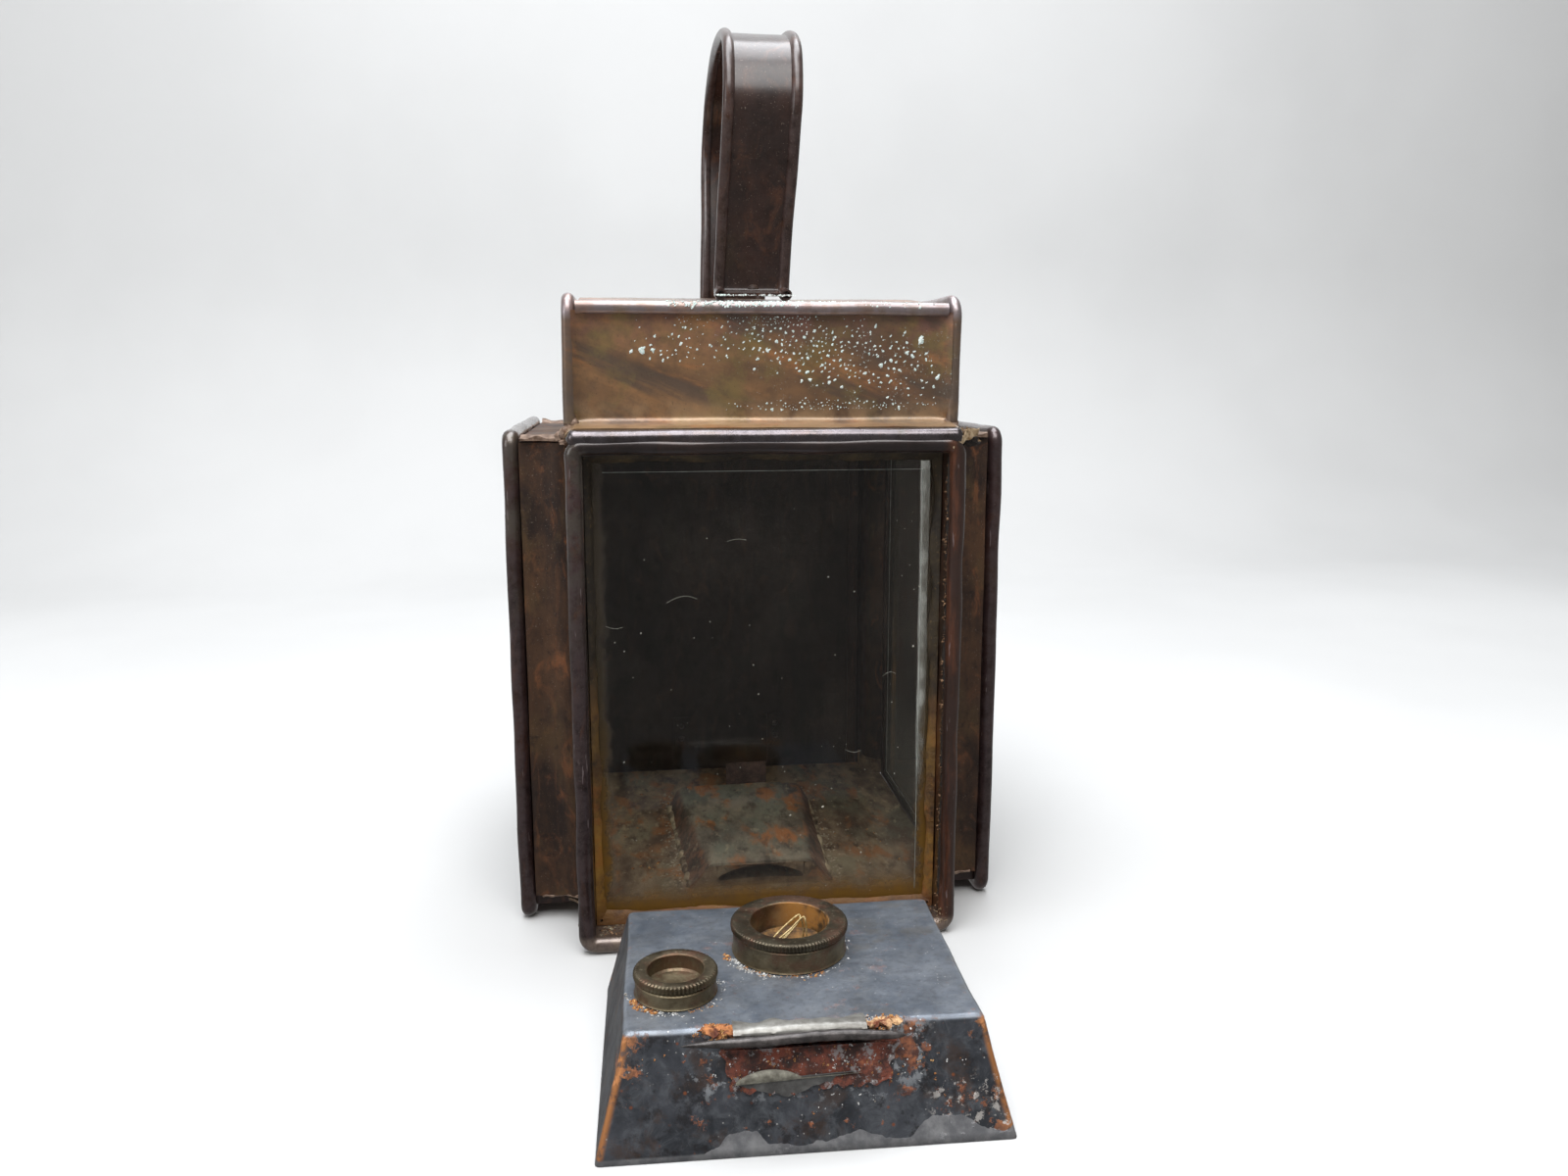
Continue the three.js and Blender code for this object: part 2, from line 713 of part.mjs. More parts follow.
function tankHalf(z) {
  return [0, 1].map((i) => (TANK.base[i] + ((TANK.top[i] - TANK.base[i]) * z) / TANK.high) / 2);
}

// Sloping block between two levels, smaller than the tank by the inset on every side.
function block(low, high, inset) {
  const unit = rectangle(-1, 1, -1, 1);
  return loft(unit, 2, ([a, b], i) => {
    const z = i ? high : low;
    const [hx, hy] = tankHalf(z);
    return [a * (hx - inset), b * (hy - inset), z];
  });
}

function well({ x, y }, radius, low, high, sides = 40) {
  return prism(circle(radius, sides, x, y), 'z', low, high);
}
const notch = box(-CHANNEL.half, CHANNEL.half, 20, 60, -1, CHANNEL.high + SHEET);
const shell = cut(
  block(0, TANK.high, 0),
  block(-1, TANK.high - TANK.wall, TANK.wall + 0.1),
  well(BURNER, BURNER.neckBore, 20, 40),
  well(FILLER, FILLER.neckBore, 20, 40),
  notch,
);
piece(tank, 'tank_shell', shell, tin());

// Bottom plate with the channel that lets the tank straddle the air duct.
function tankBase() {
  const skin = TANK.wall + 0.1 + GAP;
  const plate = block(TANK.baseLevel, TANK.baseLevel + SHEET, skin);
  const channel = (inset, low) => {
    const half = CHANNEL.half - GAP - inset;
    const start = 44 - CHANNEL.depth + inset;
    return box(-half, half, start, inset ? 60 : 44, low, CHANNEL.high - inset);
  };
  const raised = channel(0, TANK.baseLevel).intersect(block(0, TANK.high - TANK.wall - GAP, skin));
  return cut(join(plate, raised), channel(SHEET, TANK.baseLevel - 1));
}
piece(tank, 'tank_base', tankBase(), tin());

const collarFoot = TANK.high + GAP;
const neck = (spec, top) =>
  cut(well(spec, spec.neck, collarFoot, top), well(spec, spec.neckBore, collarFoot - 1, top + 1));
piece(tank, 'burner_neck', neck(BURNER, BURNER.low - GAP), brass());
piece(tank, 'filler_neck', neck(FILLER, FILLER.low - GAP), brass());

// Knurled disc: a toothed outline of the given radius.
function knurled({ x, y, flange, low, high }, teeth) {
  const outline = Array.from({ length: teeth * 2 }, (_, i) => {
    const radius = flange - (i % 2 ? 0.45 : 0);
    const turn = (Math.PI * i) / teeth;
    return [x + radius * Math.cos(turn), y + radius * Math.sin(turn)];
  });
  return prism(outline, 'z', low, high);
}

const burnerRing = cut(
  join(knurled(BURNER, 48), well(BURNER, BURNER.neckBore - 0.4, 33.4, BURNER.low + 0.5)),
  well(BURNER, BURNER.hole, 30, 50),
);
piece(tank, 'burner_ring', burnerRing, brass());

const fillerCap = cut(
  join(knurled(FILLER, 36), well(FILLER, FILLER.neckBore - 0.4, 33.4, FILLER.low + 0.5)),
  well(FILLER, FILLER.hole, 34.6, 50),
);
piece(tank, 'filler_cap', fillerCap, brass());

// -------------------------------------------------------------------------- finger pull

const slopeY = (z) => -tankHalf(z)[1];
const plateOffset = GAP + 0.5;
const platePath = [
  [PULL.barY + 0.4, PLATE.top],
  [slopeY(PLATE.bend) - plateOffset, PLATE.bend],
  [slopeY(PLATE.foot) - plateOffset, PLATE.foot],
];
const pullPlate = prism(ribbon(platePath, PLATE.thick), 'x', PULL.left, PULL.right);
piece(tank, 'pull_plate', pullPlate, rustyTin());

const lipTop = TANK.high + GAP + 0.45;
const lipPath = [
  [slopeY(TANK.high) + 5, lipTop],
  [PULL.barY + 1, lipTop],
  [PULL.barY - 0.6, lipTop - 0.2],
];
piece(tank, 'pull_lip', prism(ribbon(lipPath, 0.8), 'x', PULL.lipLeft, PULL.lipRight), tin());

function pullBar() {
  const reach = 31;
  const stations = [
    [-1, 0.25],
    [-0.86, 0.75],
    [-0.6, 1],
    [0.6, 1],
    [0.86, 0.75],
    [1, 0.25],
  ];
  const place = ([a, b], i) => {
    const [along, size] = stations[i];
    const sag = 0.9 * along ** 2;
    return [along * reach - 3.7, PULL.barY + a * size, PULL.barZ + b * size - sag];
  };
  return loft(circle(PULL.bar, 10), stations.length, place);
}
piece(tank, 'pull_bar', pullBar(), tin());

// Lower lip turned out of the plate, standing away from it towards its free edge.
const tabRoot = slopeY(TAB.top) - plateOffset;
const tabPath = [
  [tabRoot - 0.8, TAB.top],
  [tabRoot - 3, TAB.top - 1.2],
  [tabRoot - 4.4, TAB.top - 3.6],
];
const pullTab = prism(ribbon(tabPath, TAB.thick), 'x', PULL.lipLeft, PULL.lipRight - 1);
piece(tank, 'pull_tab', pullTab, rustyTin());

// ---------------------------------------------------------------------------- bent wire

// One folded wire leaning in the burner collar: two narrow loops and a tail.
function bentWire() {
  const points = WIRE.knots.map(([x, y, z]) => new THREE.Vector3(BURNER.x + x, BURNER.y + y, z));
  const curve = new THREE.CatmullRomCurve3(points, false, 'catmullrom', WIRE.tension);
  const section = new THREE.Shape(circle(WIRE.radius, 6).map(([a, b]) => new THREE.Vector2(a, b)));
  const options = { steps: WIRE.steps, extrudePath: curve, bevelEnabled: false };
  return solid(new THREE.ExtrudeGeometry(section, options));
}
piece(tank, 'bent_wire', bentWire(), strawWire());

export default lamp;
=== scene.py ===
"""Looks of the square copper hand lamp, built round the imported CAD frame. Metres, +Z up."""
import math
import random

import bpy
import numpy as np
from mathutils import Euler, Matrix, Vector, noise


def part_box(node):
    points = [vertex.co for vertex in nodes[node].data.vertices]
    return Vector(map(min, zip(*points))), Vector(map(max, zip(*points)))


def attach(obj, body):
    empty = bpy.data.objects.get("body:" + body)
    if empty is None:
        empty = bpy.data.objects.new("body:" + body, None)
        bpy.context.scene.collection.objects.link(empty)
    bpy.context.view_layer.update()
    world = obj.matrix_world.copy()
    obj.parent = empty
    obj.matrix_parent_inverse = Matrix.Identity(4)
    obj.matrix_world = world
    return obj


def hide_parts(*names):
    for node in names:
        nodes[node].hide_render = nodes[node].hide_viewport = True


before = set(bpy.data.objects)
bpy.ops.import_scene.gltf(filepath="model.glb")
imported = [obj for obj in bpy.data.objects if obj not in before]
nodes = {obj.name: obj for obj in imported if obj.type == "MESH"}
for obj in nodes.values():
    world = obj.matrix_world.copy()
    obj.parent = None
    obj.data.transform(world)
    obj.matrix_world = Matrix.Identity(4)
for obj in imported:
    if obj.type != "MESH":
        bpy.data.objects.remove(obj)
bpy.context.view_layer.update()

MM = 0.001
BODY, DOOR, TANK = "lamp_body", "rear_door", "oil_tank"

# ------------------------------------------------------------------ driving sizes, from the frame

front_low, front_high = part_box("front_frame")
side_low, side_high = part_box("right_frame")
hood_low, hood_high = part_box("hood_front")
roof_low, roof_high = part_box("hood_roof")
shell_low, shell_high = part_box("tank_shell")
ring_low, ring_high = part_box("burner_ring")
cap_low, cap_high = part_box("filler_cap")
glass_low, glass_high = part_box("front_glass")

BEAD = 3 * MM  # radius of the rolled window edges
SHEET = 1 * MM
AXIS_Y = (side_low.y + side_high.y) / 2  # middle of the lamp body, front to back
TANK_TURN = math.radians(-1.56)
tank_middle = (shell_low + shell_high) / 2


def grain(x, y, z):
    """Signed smooth noise at a place, about -0.5 to 0.5."""
    return noise.noise(Vector((x, y, z)))


def wavy(point, scale, seed):
    """Signed smooth noise vector, each part about -0.5 to 0.5."""
    x, y, z = Vector(point) * scale + Vector((seed, seed * 1.7, -seed))
    places = ((x + 9.3, y - 1.5, z - 8.0), (x, y, z), (x + 6.3, y + 0.2, z - 2.7))
    return Vector([noise.noise(Vector(place)) for place in places])


def up_to_one(value):
    return min(1.0, max(0.0, value))


# ---------------------------------------------------------------------------------- materials


class Paint:
    """Builds one node material; every method returns a socket that the next one can take."""

    def __init__(self, name):
        self.material = bpy.data.materials.new(name)
        self.material.use_nodes = True
        self.tree = self.material.node_tree
        self.shader = self.tree.nodes["Principled BSDF"]
        self.place = self.node("TexCoord", "Object")

    def feed(self, socket, value):
        """Links a socket, or sets its constant."""
        if isinstance(value, bpy.types.NodeSocket):
            self.tree.links.new(value, socket)
        else:
            if socket.type == "RGBA" and len(value) == 3:
                value = (*value, 1.0)
            socket.default_value = value

    def node(self, kind, output, inputs=None, **settings):
        """Adds a node, sets or links its inputs and returns one of its outputs."""
        node = self.tree.nodes.new("ShaderNode" + kind)
        for key, value in settings.items():
            setattr(node, key, value)
        for key, value in (inputs or {}).items():
            self.feed(node.inputs[key], value)
        return node.outputs[output]

    def mapped(self, **changes):
        """Object coordinates moved, turned or stretched."""
        return self.node("Mapping", "Vector", {"Vector": self.place, **changes})

    def texture(self, place, scale, detail, rough, distort):
        return self.node("TexNoise", "Fac", {"Vector": place, "Scale": scale, "Detail": detail,
                                             "Roughness": rough, "Distortion": distort})

    def noise(self, scale, detail, rough, stretch=(1, 1, 1), shift=0.0, distort=0.0):
        place = self.mapped(Location=(shift, shift * 0.7, shift * 1.3), Scale=stretch)
        return self.texture(place, scale, detail, rough, distort)

    def tilted(self, degrees, stretch, scale, detail, rough, shift):
        """Noise drawn out along a slanting direction on the front of the lamp."""
        slanting = self.mapped(Rotation=(0, math.radians(degrees), 0))
        place = self.node("Mapping", "Vector", {"Vector": slanting, "Scale": stretch,
                                                "Location": (shift, 0.3 * shift, 0)})
        return self.texture(place, scale, detail, rough, 0.4)

    def cells(self, scale, shift):
        """Distance to the nearest of many scattered points."""
        place = self.mapped(Location=(shift, -shift, shift * 0.4))
        return self.node("TexVoronoi", "Distance", {"Vector": place, "Scale": scale, "Randomness": 1.0})

    def level(self, value, low, high, to_low=0.0, to_high=1.0):
        inputs = {"Value": value, "From Min": low, "From Max": high, "To Min": to_low, "To Max": to_high}
        return self.node("MapRange", "Result", inputs, interpolation_type="SMOOTHSTEP")

    def cloud(self, scale, detail, rough, low, high, to_low=0.0, to_high=1.0, **where):
        """Noise cut to the band between low and high."""
        return self.level(self.noise(scale, detail, rough, **where), low, high, to_low, to_high)

    def ramp(self, axis, low, high, to_low=0.0, to_high=1.0):
        """Rises, or falls, along one axis between two places in millimetres."""
        return self.level(self.axis(axis), low * MM, high * MM, to_low, to_high)

    def inside(self, axis, low, high, soft):
        """1 between low and high along one axis, falling to 0 over the soft distance outside; millimetres."""
        return self.times(self.ramp(axis, low - soft, low), self.ramp(axis, high, high + soft, 1.0, 0.0))

    def math(self, operation, a, b, clamp=False):
        """One step of arithmetic; only times and add keep it between 0 and 1."""
        return self.node("Math", 0, {0: a, 1: b}, operation=operation, use_clamp=clamp)

    def chain(self, operation, values):
        total = values[0]
        for value in values[1:]:
            total = self.math(operation, total, value, True)
        return total

    def times(self, *values):
        return self.chain("MULTIPLY", values)

    def add(self, *values):
        return self.chain("ADD", values)

    def mix(self, amount, a, b):
        return self.node("Mix", 2, {0: amount, 6: a, 7: b}, data_type="RGBA")

    def blend(self, amount, a, b):
        return self.node("Mix", 0, {0: amount, 2: a, 3: b})

    def layers(self, color, *coats):
        """Lays coats over a colour; each is the coat's colour and the factors of its amount."""
        for tone, *amounts in coats:
            color = self.mix(self.times(*amounts), color, tone)
        return color

    def attribute(self, name):
        return self.node("Attribute", "Fac", attribute_name=name)

    def axis(self, name):
        return self.node("SeparateXYZ", name, {0: self.place})

    def bump(self, height, distance, strength):
        inputs = {"Height": height, "Distance": distance * MM, "Strength": strength}
        return self.node("Bump", "Normal", inputs)

    def finish(self, color, roughness, metallic, normal=None, specular=0.5, coat=0.0, coat_rough=0.25):
        """Sets the shader; specular and coat are constants and stay on the shader's own sockets."""
        values = {"Base Color": color, "Roughness": roughness, "Metallic": metallic, "Coat Weight": coat,
                  "Specular IOR Level": specular, "Coat Roughness": coat_rough}
        if normal is not None:
            values["Normal"] = normal
        for key, value in values.items():
            self.feed(self.shader.inputs[key], value)
        return self.material


def scaled(color, *by):
    """A colour times one factor, or times a factor for each of red, green and blue."""
    factors = by * 3 if len(by) == 1 else by
    return tuple(c * f for c, f in zip(color, factors))


def patina(name, dark, mid, warm, bright, metal, rough, streak=0.6, coat=0.0, coat_rough=0.24, specular=0.5,
           with_front_wear_and_shade=False):
    """Old copper: clouds of brown, warm patches, vertical runs, pits, and polished rolls."""
    p = Paint(name)
    soft = (1, 1, 0.6)
    pits = p.cloud(1300, 3, 0.6, 0.6, 0.74, shift=2.2)
    color = p.layers(
        p.mix(p.cloud(42, 8, 0.68, 0.36, 0.64, stretch=soft), dark, mid),
        (warm, p.cloud(75, 8, 0.66, 0.52, 0.7, stretch=soft, shift=3.1, distort=1.2), 0.75),
        (scaled(warm, 0.5, 0.85, 0.9), p.cloud(60, 7, 0.62, 0.52, 0.68, stretch=soft, shift=9.6), 0.45),
        (scaled(dark, 0.55), p.cloud(170, 6, 0.66, 0.5, 0.72, stretch=(1, 1, 0.16), shift=7.7, distort=0.6),
         streak),
        (scaled(warm, 1.5), p.cloud(260, 5, 0.66, 0.57, 0.75, stretch=(1, 1, 0.14), shift=1.9, distort=0.6),
         streak * 0.5),
        (scaled(dark, 0.6), p.cloud(230, 7, 0.72, 0.54, 0.66, shift=5.3), 0.6),
        (scaled(dark, 0.35), pits, 0.6),
        ((0.38, 0.3, 0.24), p.cloud(1700, 3, 0.6, 0.64, 0.73, shift=8.4), 0.45),
        (scaled(dark, 0.4), p.ramp("Z", 60, 180, 0.35, 0.0)),
        (bright, p.attribute("roll"), p.cloud(210, 8, 0.72, 0.3, 0.62, shift=6.1), 0.6),
    )
    # the front frame's wear, with a painted shade along its top
    if with_front_wear_and_shade:
        color = front_wear_and_shade(p, color)
    nicks = p.cloud(620, 3, 0.6, 0.66, 0.7, stretch=(1, 1, 0.12), shift=5.7)
    color = p.layers(color, ((0.32, 0.25, 0.25), nicks, p.attribute("roll"), p.inside("Z", 10, 176, 3), 0.5))
    height = p.add(p.times(p.noise(420, 7, 0.72, shift=1.2), 0.8), p.times(pits, -0.3))
    shine = p.cloud(90, 6, 0.6, 0.3, 0.7, *rough, shift=4.4)
    return p.finish(color, shine, metal, p.bump(height, 0.35, 0.45), specular, coat, coat_rough)


def front_wear_and_shade(p, color):
    """Painted shade along the top, under the hood, dull left post, rusty right post and dusty sill of the
    front frame.
    """
    near = p.ramp("Y", -20, -15, 1.0, 0.0)
    streaks = p.cloud(120, 8, 0.72, 0.47, 0.65, stretch=(1, 1, 0.14), shift=8.9)
    return p.layers(
        color,
        # painted shade: the top of the frame darkened where the hood above shades it
        ((0.014, 0.009, 0.008), p.ramp("Z", 179, 184), near, 0.8),
        ((0.1, 0.09, 0.07), p.ramp("X", -64, -61, 1.0, 0.0), p.ramp("Z", 90, 170),
         p.cloud(90, 7, 0.7, 0.4, 0.6, shift=2.4), 0.6),
        (p.mix(streaks, (0.045, 0.02, 0.012), (0.16, 0.05, 0.018)),
         p.ramp("X", 61, 64), near, p.inside("Z", 8, 180, 14), 0.8),
        ((0.27, 0.21, 0.17), p.ramp("Z", 5, 8, 1.0, 0.0), near,
         p.cloud(150, 7, 0.7, 0.35, 0.6, 0.25, 0.8, shift=1.3)),
    )


def hood_patina(name):
    """Cloudy olive and orange copper with slanting dark bands, pale verdigris specks and worn rolls; the top
    roll is lighter partly as a painted highlight.
    """
    p = Paint(name)
    foot, top = hood_low.z / MM, hood_high.z / MM

    flow = p.level(p.tilted(-17, (0.3, 1.0, 1.5), 26, 7, 0.6, 0.0), 0.4, 0.6)
    orange = p.level(p.tilted(-12, (0.4, 1.0, 1.9), 34, 8, 0.62, 3.0), 0.49, 0.6)
    dark = p.level(p.tilted(-24, (0.3, 1.0, 1.7), 30, 6, 0.6, 6.0), 0.5, 0.62)
    specks = p.times(p.cloud(1100, 4, 0.7, 0.6, 0.68, shift=4.9), p.cloud(110, 4, 0.6, 0.48, 0.62, shift=9.1),
                     p.times(p.ramp("X", -35, 20), p.ramp("Z", foot + 6, foot + 26, 0.35, 1.0)))
    worn_and_sheen = p.times(p.attribute("roll"), p.cloud(150, 7, 0.65, 0.36, 0.64, 0.4, 1.0, shift=6.1))
    color = p.layers(
        p.mix(flow, (0.15, 0.08, 0.038), (0.32, 0.165, 0.066)),
        ((0.4, 0.165, 0.055), orange, 0.85),
        ((0.085, 0.072, 0.062), p.ramp("X", 20, 55), p.cloud(55, 6, 0.62, 0.42, 0.6, shift=5.9), 0.6),
        ((0.2, 0.085, 0.066), p.ramp("Z", top - 24, top - 6),
         p.cloud(60, 5, 0.6, 0.4, 0.62, shift=8.8), 0.75),
        ((0.088, 0.062, 0.046), dark, 0.8),
        ((0.2, 0.15, 0.045), p.cloud(48, 6, 0.6, 0.5, 0.64, shift=4.6), 0.6),
        ((0.095, 0.058, 0.035), p.cloud(240, 7, 0.68, 0.38, 0.7, shift=3.3), 0.5),
        ((0.42, 0.27, 0.14), p.ramp("Z", foot + 5, foot + 14, 1.0, 0.0),
         p.cloud(90, 6, 0.6, 0.35, 0.6, shift=7.2), 0.65),
        ((0.03, 0.02, 0.015), p.cloud(1300, 3, 0.6, 0.62, 0.75, shift=2.2), 0.5),
        ((0.5, 0.6, 0.54), specks, 0.8),
        # worn rolls; the top roll's lighter grey-mauve is partly a painted highlight, the side rolls keep a
        # worn brown
        (p.mix(p.ramp("Z", top - 7, top - 4), (0.19, 0.14, 0.11), (0.33, 0.28, 0.29)), worn_and_sheen, 0.9),
    )
    shine = p.blend(specks, p.blend(worn_and_sheen, p.cloud(70, 6, 0.6, 0.3, 0.7, 0.42, 0.6, shift=4.4), 0.4), 0.9)
    metal = p.blend(worn_and_sheen, p.blend(specks, 0.5, 0.0), 0.8)
    height = p.add(p.times(p.noise(420, 6, 0.6, shift=1.2), 0.5), p.times(specks, 0.5))
    return p.finish(color, shine, metal, p.bump(height, 0.4, 0.5), coat=1.0, coat_rough=0.27)


def tin_finish(name):
    """Tinned steel of the tank: blue-grey top, partly a painted sheen; dark slate sides with rust, partly
    painted shade; bare band at the foot.
    """
    p = Paint(name)
    middle, front, high = tank_middle.x / MM, shell_low.y / MM, shell_high.z / MM
    right = shell_high.x / MM
    top = p.ramp("Z", high - 1.5, high - 0.5)
    only_sides = p.blend(top, 1.0, 0.0)
    clouds = p.cloud(45, 8, 0.66, 0.35, 0.68)
    mottle = p.cloud(170, 7, 0.7, 0.42, 0.66, shift=2.0, distort=0.6)
    # the top is painted lighter and the sides darker: tin colour plus a painted sheen on top and painted
    # shade on the sides
    top_color_and_sheen = p.layers(
        p.mix(clouds, (0.115, 0.135, 0.165), (0.19, 0.21, 0.24)),
        ((0.24, 0.255, 0.27), mottle, 0.4),
        ((0.08, 0.086, 0.1), p.cloud(300, 5, 0.65, 0.45, 0.75, stretch=(0.4, 1, 1), shift=3.0), 0.45),
        ((0.07, 0.072, 0.08), p.cloud(520, 6, 0.72, 0.5, 0.64, shift=6.2), 0.35),
        ((0.15, 0.14, 0.125),
         p.cloud(65, 7, 0.68, 0.5, 0.64, shift=8.3), p.ramp("X", middle, middle + 30, 0.3, 1.0), 0.5),
    )
    side_color_and_shade = p.layers(
        p.mix(clouds, (0.024, 0.027, 0.033), (0.07, 0.075, 0.088)),
        ((0.13, 0.14, 0.155), mottle, 0.6),
        ((0.018, 0.016, 0.018), p.cloud(120, 7, 0.7, 0.52, 0.62, shift=9.5), 0.8),
        ((0.07, 0.042, 0.03), p.cloud(80, 8, 0.7, 0.5, 0.64, shift=7.7, distort=0.4), 0.6),
    )
    halo = p.times(p.inside("X", middle - 28, middle + 28, 9), p.ramp("Y", front + 14, front + 17, 1.0, 0.0),
                   p.ramp("Z", 8, 22))
    right_foot = p.times(p.inside("X", right - 24, right - 6, 5), p.inside("Z", 4, 15, 4))
    edge = p.attribute("edge")
    push = p.add(p.times(edge, 0.05), p.times(p.cloud(40, 5, 0.6, 0.5, 0.68, shift=2.7), 0.1),
                 p.times(halo, 0.09), p.times(right_foot, 0.09))
    rust = p.level(p.add(p.noise(190, 8, 0.7, shift=5.5), push), 0.635, 0.68)
    rust = p.times(rust, p.blend(top, 1.0, 0.35))
    rust_tone = p.mix(p.cloud(420, 6, 0.65, 0.38, 0.66, shift=7.1), (0.06, 0.018, 0.01), (0.27, 0.09, 0.035))
    spots = p.times(p.level(p.cells(230, 0.41), 0.05, 0.16, 1.0, 0.0),
                    p.cloud(70, 4, 0.6, 0.4, 0.5, shift=1.9), p.blend(top, 1.0, 0.25))
    flecks = p.times(p.level(p.cells(520, 0.77), 0.06, 0.15, 1.0, 0.0),
                     p.cloud(90, 4, 0.6, 0.5, 0.6, shift=6.6))
    bare_tin = p.mix(p.cloud(220, 6, 0.65, 0.35, 0.7, shift=8.2), (0.16, 0.162, 0.172), (0.3, 0.3, 0.305))
    color = p.layers(
        p.mix(top, side_color_and_shade, top_color_and_sheen),
        ((0.4, 0.42, 0.44), halo, p.cloud(200, 7, 0.72, 0.53, 0.6, shift=7.0), p.blend(top, 1.0, 0.3), 0.75),
        (p.layers(rust_tone, ((0.42, 0.18, 0.06), edge, 0.5)), rust, 0.92),
        ((0.42, 0.17, 0.055), p.level(edge, 0.66, 0.88),
         p.cloud(260, 6, 0.65, 0.38, 0.5, 0.25, 0.95, shift=3.9), only_sides),
        ((0.24, 0.07, 0.025), spots, 0.85),
        ((0.55, 0.54, 0.52), flecks, 0.8),
        ((0.5, 0.47, 0.44), p.times(right_foot, p.cloud(330, 6, 0.7, 0.54, 0.6, shift=2.9)), 0.8),
        (bare_tin, tank_foot_band(p, middle, front), only_sides, 0.95),
    )
    shine = p.blend(rust, p.cloud(120, 5, 0.6, 0.3, 0.7, 0.34, 0.52, shift=1.1), 0.85)
    height = p.add(p.times(p.noise(300, 6, 0.6, shift=1.7), 0.5), p.times(rust, 0.5))
    metal = p.blend(rust, 0.5, 0.05)
    return p.finish(color, shine, metal, p.bump(height, 0.35, 0.6), coat=0.25, coat_rough=0.35)


def tank_foot_band(p, middle, front):
    """Mask of the bare wavy band along the foot of the front: low steps and three crests."""
    crest = 0.0
    for low, high, soft, rise in ((-28, 62, 6, 2.6), (-23, -16, 4, 3.4), (8, 12, 5, 1.6), (34, 41, 8, 4.8)):
        step = p.inside("X", middle + low, middle + high, soft)
        crest = p.math("ADD", crest, p.math("MULTIPLY", step, rise * MM))
    ripple = p.cloud(130, 3, 0.5, 0.3, 0.7, -0.7 * MM, 0.9 * MM, stretch=(1, 0.4, 0.2), shift=1.4)
    band = p.math("GREATER_THAN", p.math("ADD", crest, ripple), p.axis("Z"))
    band = p.times(band, p.ramp("Y", front + 6, front + 8, 1.0, 0.0))
    return p.math("MAXIMUM", band, p.ramp("Z", 1.0, 1.8, 1.0, 0.0))


def rust_finish(name):
    """Scabby plate under the pull: near-black, dark red rust, grey bloom and orange grains."""
    p = Paint(name)
    field = p.noise(170, 8, 0.7)
    color = p.layers(
        p.mix(p.level(field, 0.38, 0.56), (0.034, 0.014, 0.011), (0.165, 0.045, 0.026)),
        ((0.27, 0.09, 0.04), p.cloud(330, 7, 0.68, 0.56, 0.68, shift=4.0)),
        ((0.022, 0.014, 0.013), p.cloud(120, 7, 0.68, 0.5, 0.6, shift=8.8), 0.65),
        ((0.22, 0.21, 0.21), p.cloud(240, 8, 0.75, 0.54, 0.61, shift=6.3), 0.8),
        ((0.5, 0.48, 0.46), p.cloud(700, 5, 0.7, 0.62, 0.68, shift=1.6), 0.8),
    )
    height = p.add(p.times(field, 0.6), p.times(p.noise(900, 4, 0.6, shift=3.0), 0.4))
    return p.finish(color, p.level(field, 0.3, 0.7, 0.75, 0.95), 0.1, p.bump(height, 0.7, 0.9))


def floor_finish(name, base, pale, rust):
    """Inside of the lamp: dull olive tin, orange rust, whitish solder dust; scabby where marked flank."""
    p = Paint(name)
    deep = (1, 0.45, 1)
    scab = p.mix(p.cloud(140, 7, 0.7, 0.42, 0.6, shift=4.2), (0.06, 0.028, 0.02), (0.2, 0.09, 0.05))
    color = p.layers(
        p.mix(p.cloud(60, 8, 0.64, 0.36, 0.64, stretch=deep), base, pale),
        (scaled(pale, 0.55, 0.72, 0.75), p.cloud(50, 7, 0.62, 0.46, 0.62, stretch=deep, shift=6.6), 0.6),
        (rust, p.cloud(80, 6, 0.6, 0.52, 0.64, stretch=deep, shift=3.0, distort=0.3), 0.8),
        (scab, p.attribute("flank"), 0.8),
        (scaled(base, 0.3), p.cloud(150, 7, 0.7, 0.48, 0.66, stretch=deep, shift=5.0), 0.7),
        ((0.5, 0.42, 0.26), p.cloud(300, 6, 0.7, 0.57, 0.68, stretch=deep, shift=8.0), 0.5),
    )
    return p.finish(color, 0.72, 0.15, p.bump(p.noise(380, 6, 0.65, shift=2.0), 0.5, 0.7))


def brass_finish(name):
    """Dull brown brass, dark upper faces, rust in the bore painted only on the side that faces the light, so
    its one-sidedness is painted light and shade.
    """
    p = Paint(name)
    middle, top = (ring_low.x + ring_high.x) / 2 / MM, ring_high.z / MM
    # orange rust in the bore, strongest on the side facing the light: the one-sided spread is painted light,
    # the far side's darkness painted shade
    rust = p.times(p.attribute("bore"), p.ramp("X", middle - 7, middle + 3, 0.1, 1.0),
                   p.cloud(160, 6, 0.6, 0.34, 0.56, shift=9.3))
    color = p.layers(
        p.mix(p.cloud(85, 7, 0.6, 0.35, 0.68), (0.115, 0.088, 0.05), (0.24, 0.2, 0.125)),
        ((0.046, 0.039, 0.029), p.ramp("Z", top - 6, top - 0.4), 0.8),
        ((0.15, 0.07, 0.045), p.cloud(110, 7, 0.66, 0.46, 0.62, shift=3.7), 0.6),
        ((0.045, 0.035, 0.022), p.cloud(230, 7, 0.7, 0.5, 0.72, shift=6.4), 0.6),
        ((0.36, 0.165, 0.035), rust),
        ((0.4, 0.35, 0.24), p.cloud(900, 3, 0.5, 0.6, 0.72, stretch=(1, 1, 6), shift=2.6), 0.35),
    )
    shine = p.blend(rust, p.cloud(200, 5, 0.6, 0.3, 0.7, 0.34, 0.55, shift=1.5), 0.8)
    return p.finish(color, shine, p.blend(rust, 0.75, 0.2), p.bump(p.noise(700, 5, 0.6, shift=4.1), 0.2, 0.5))


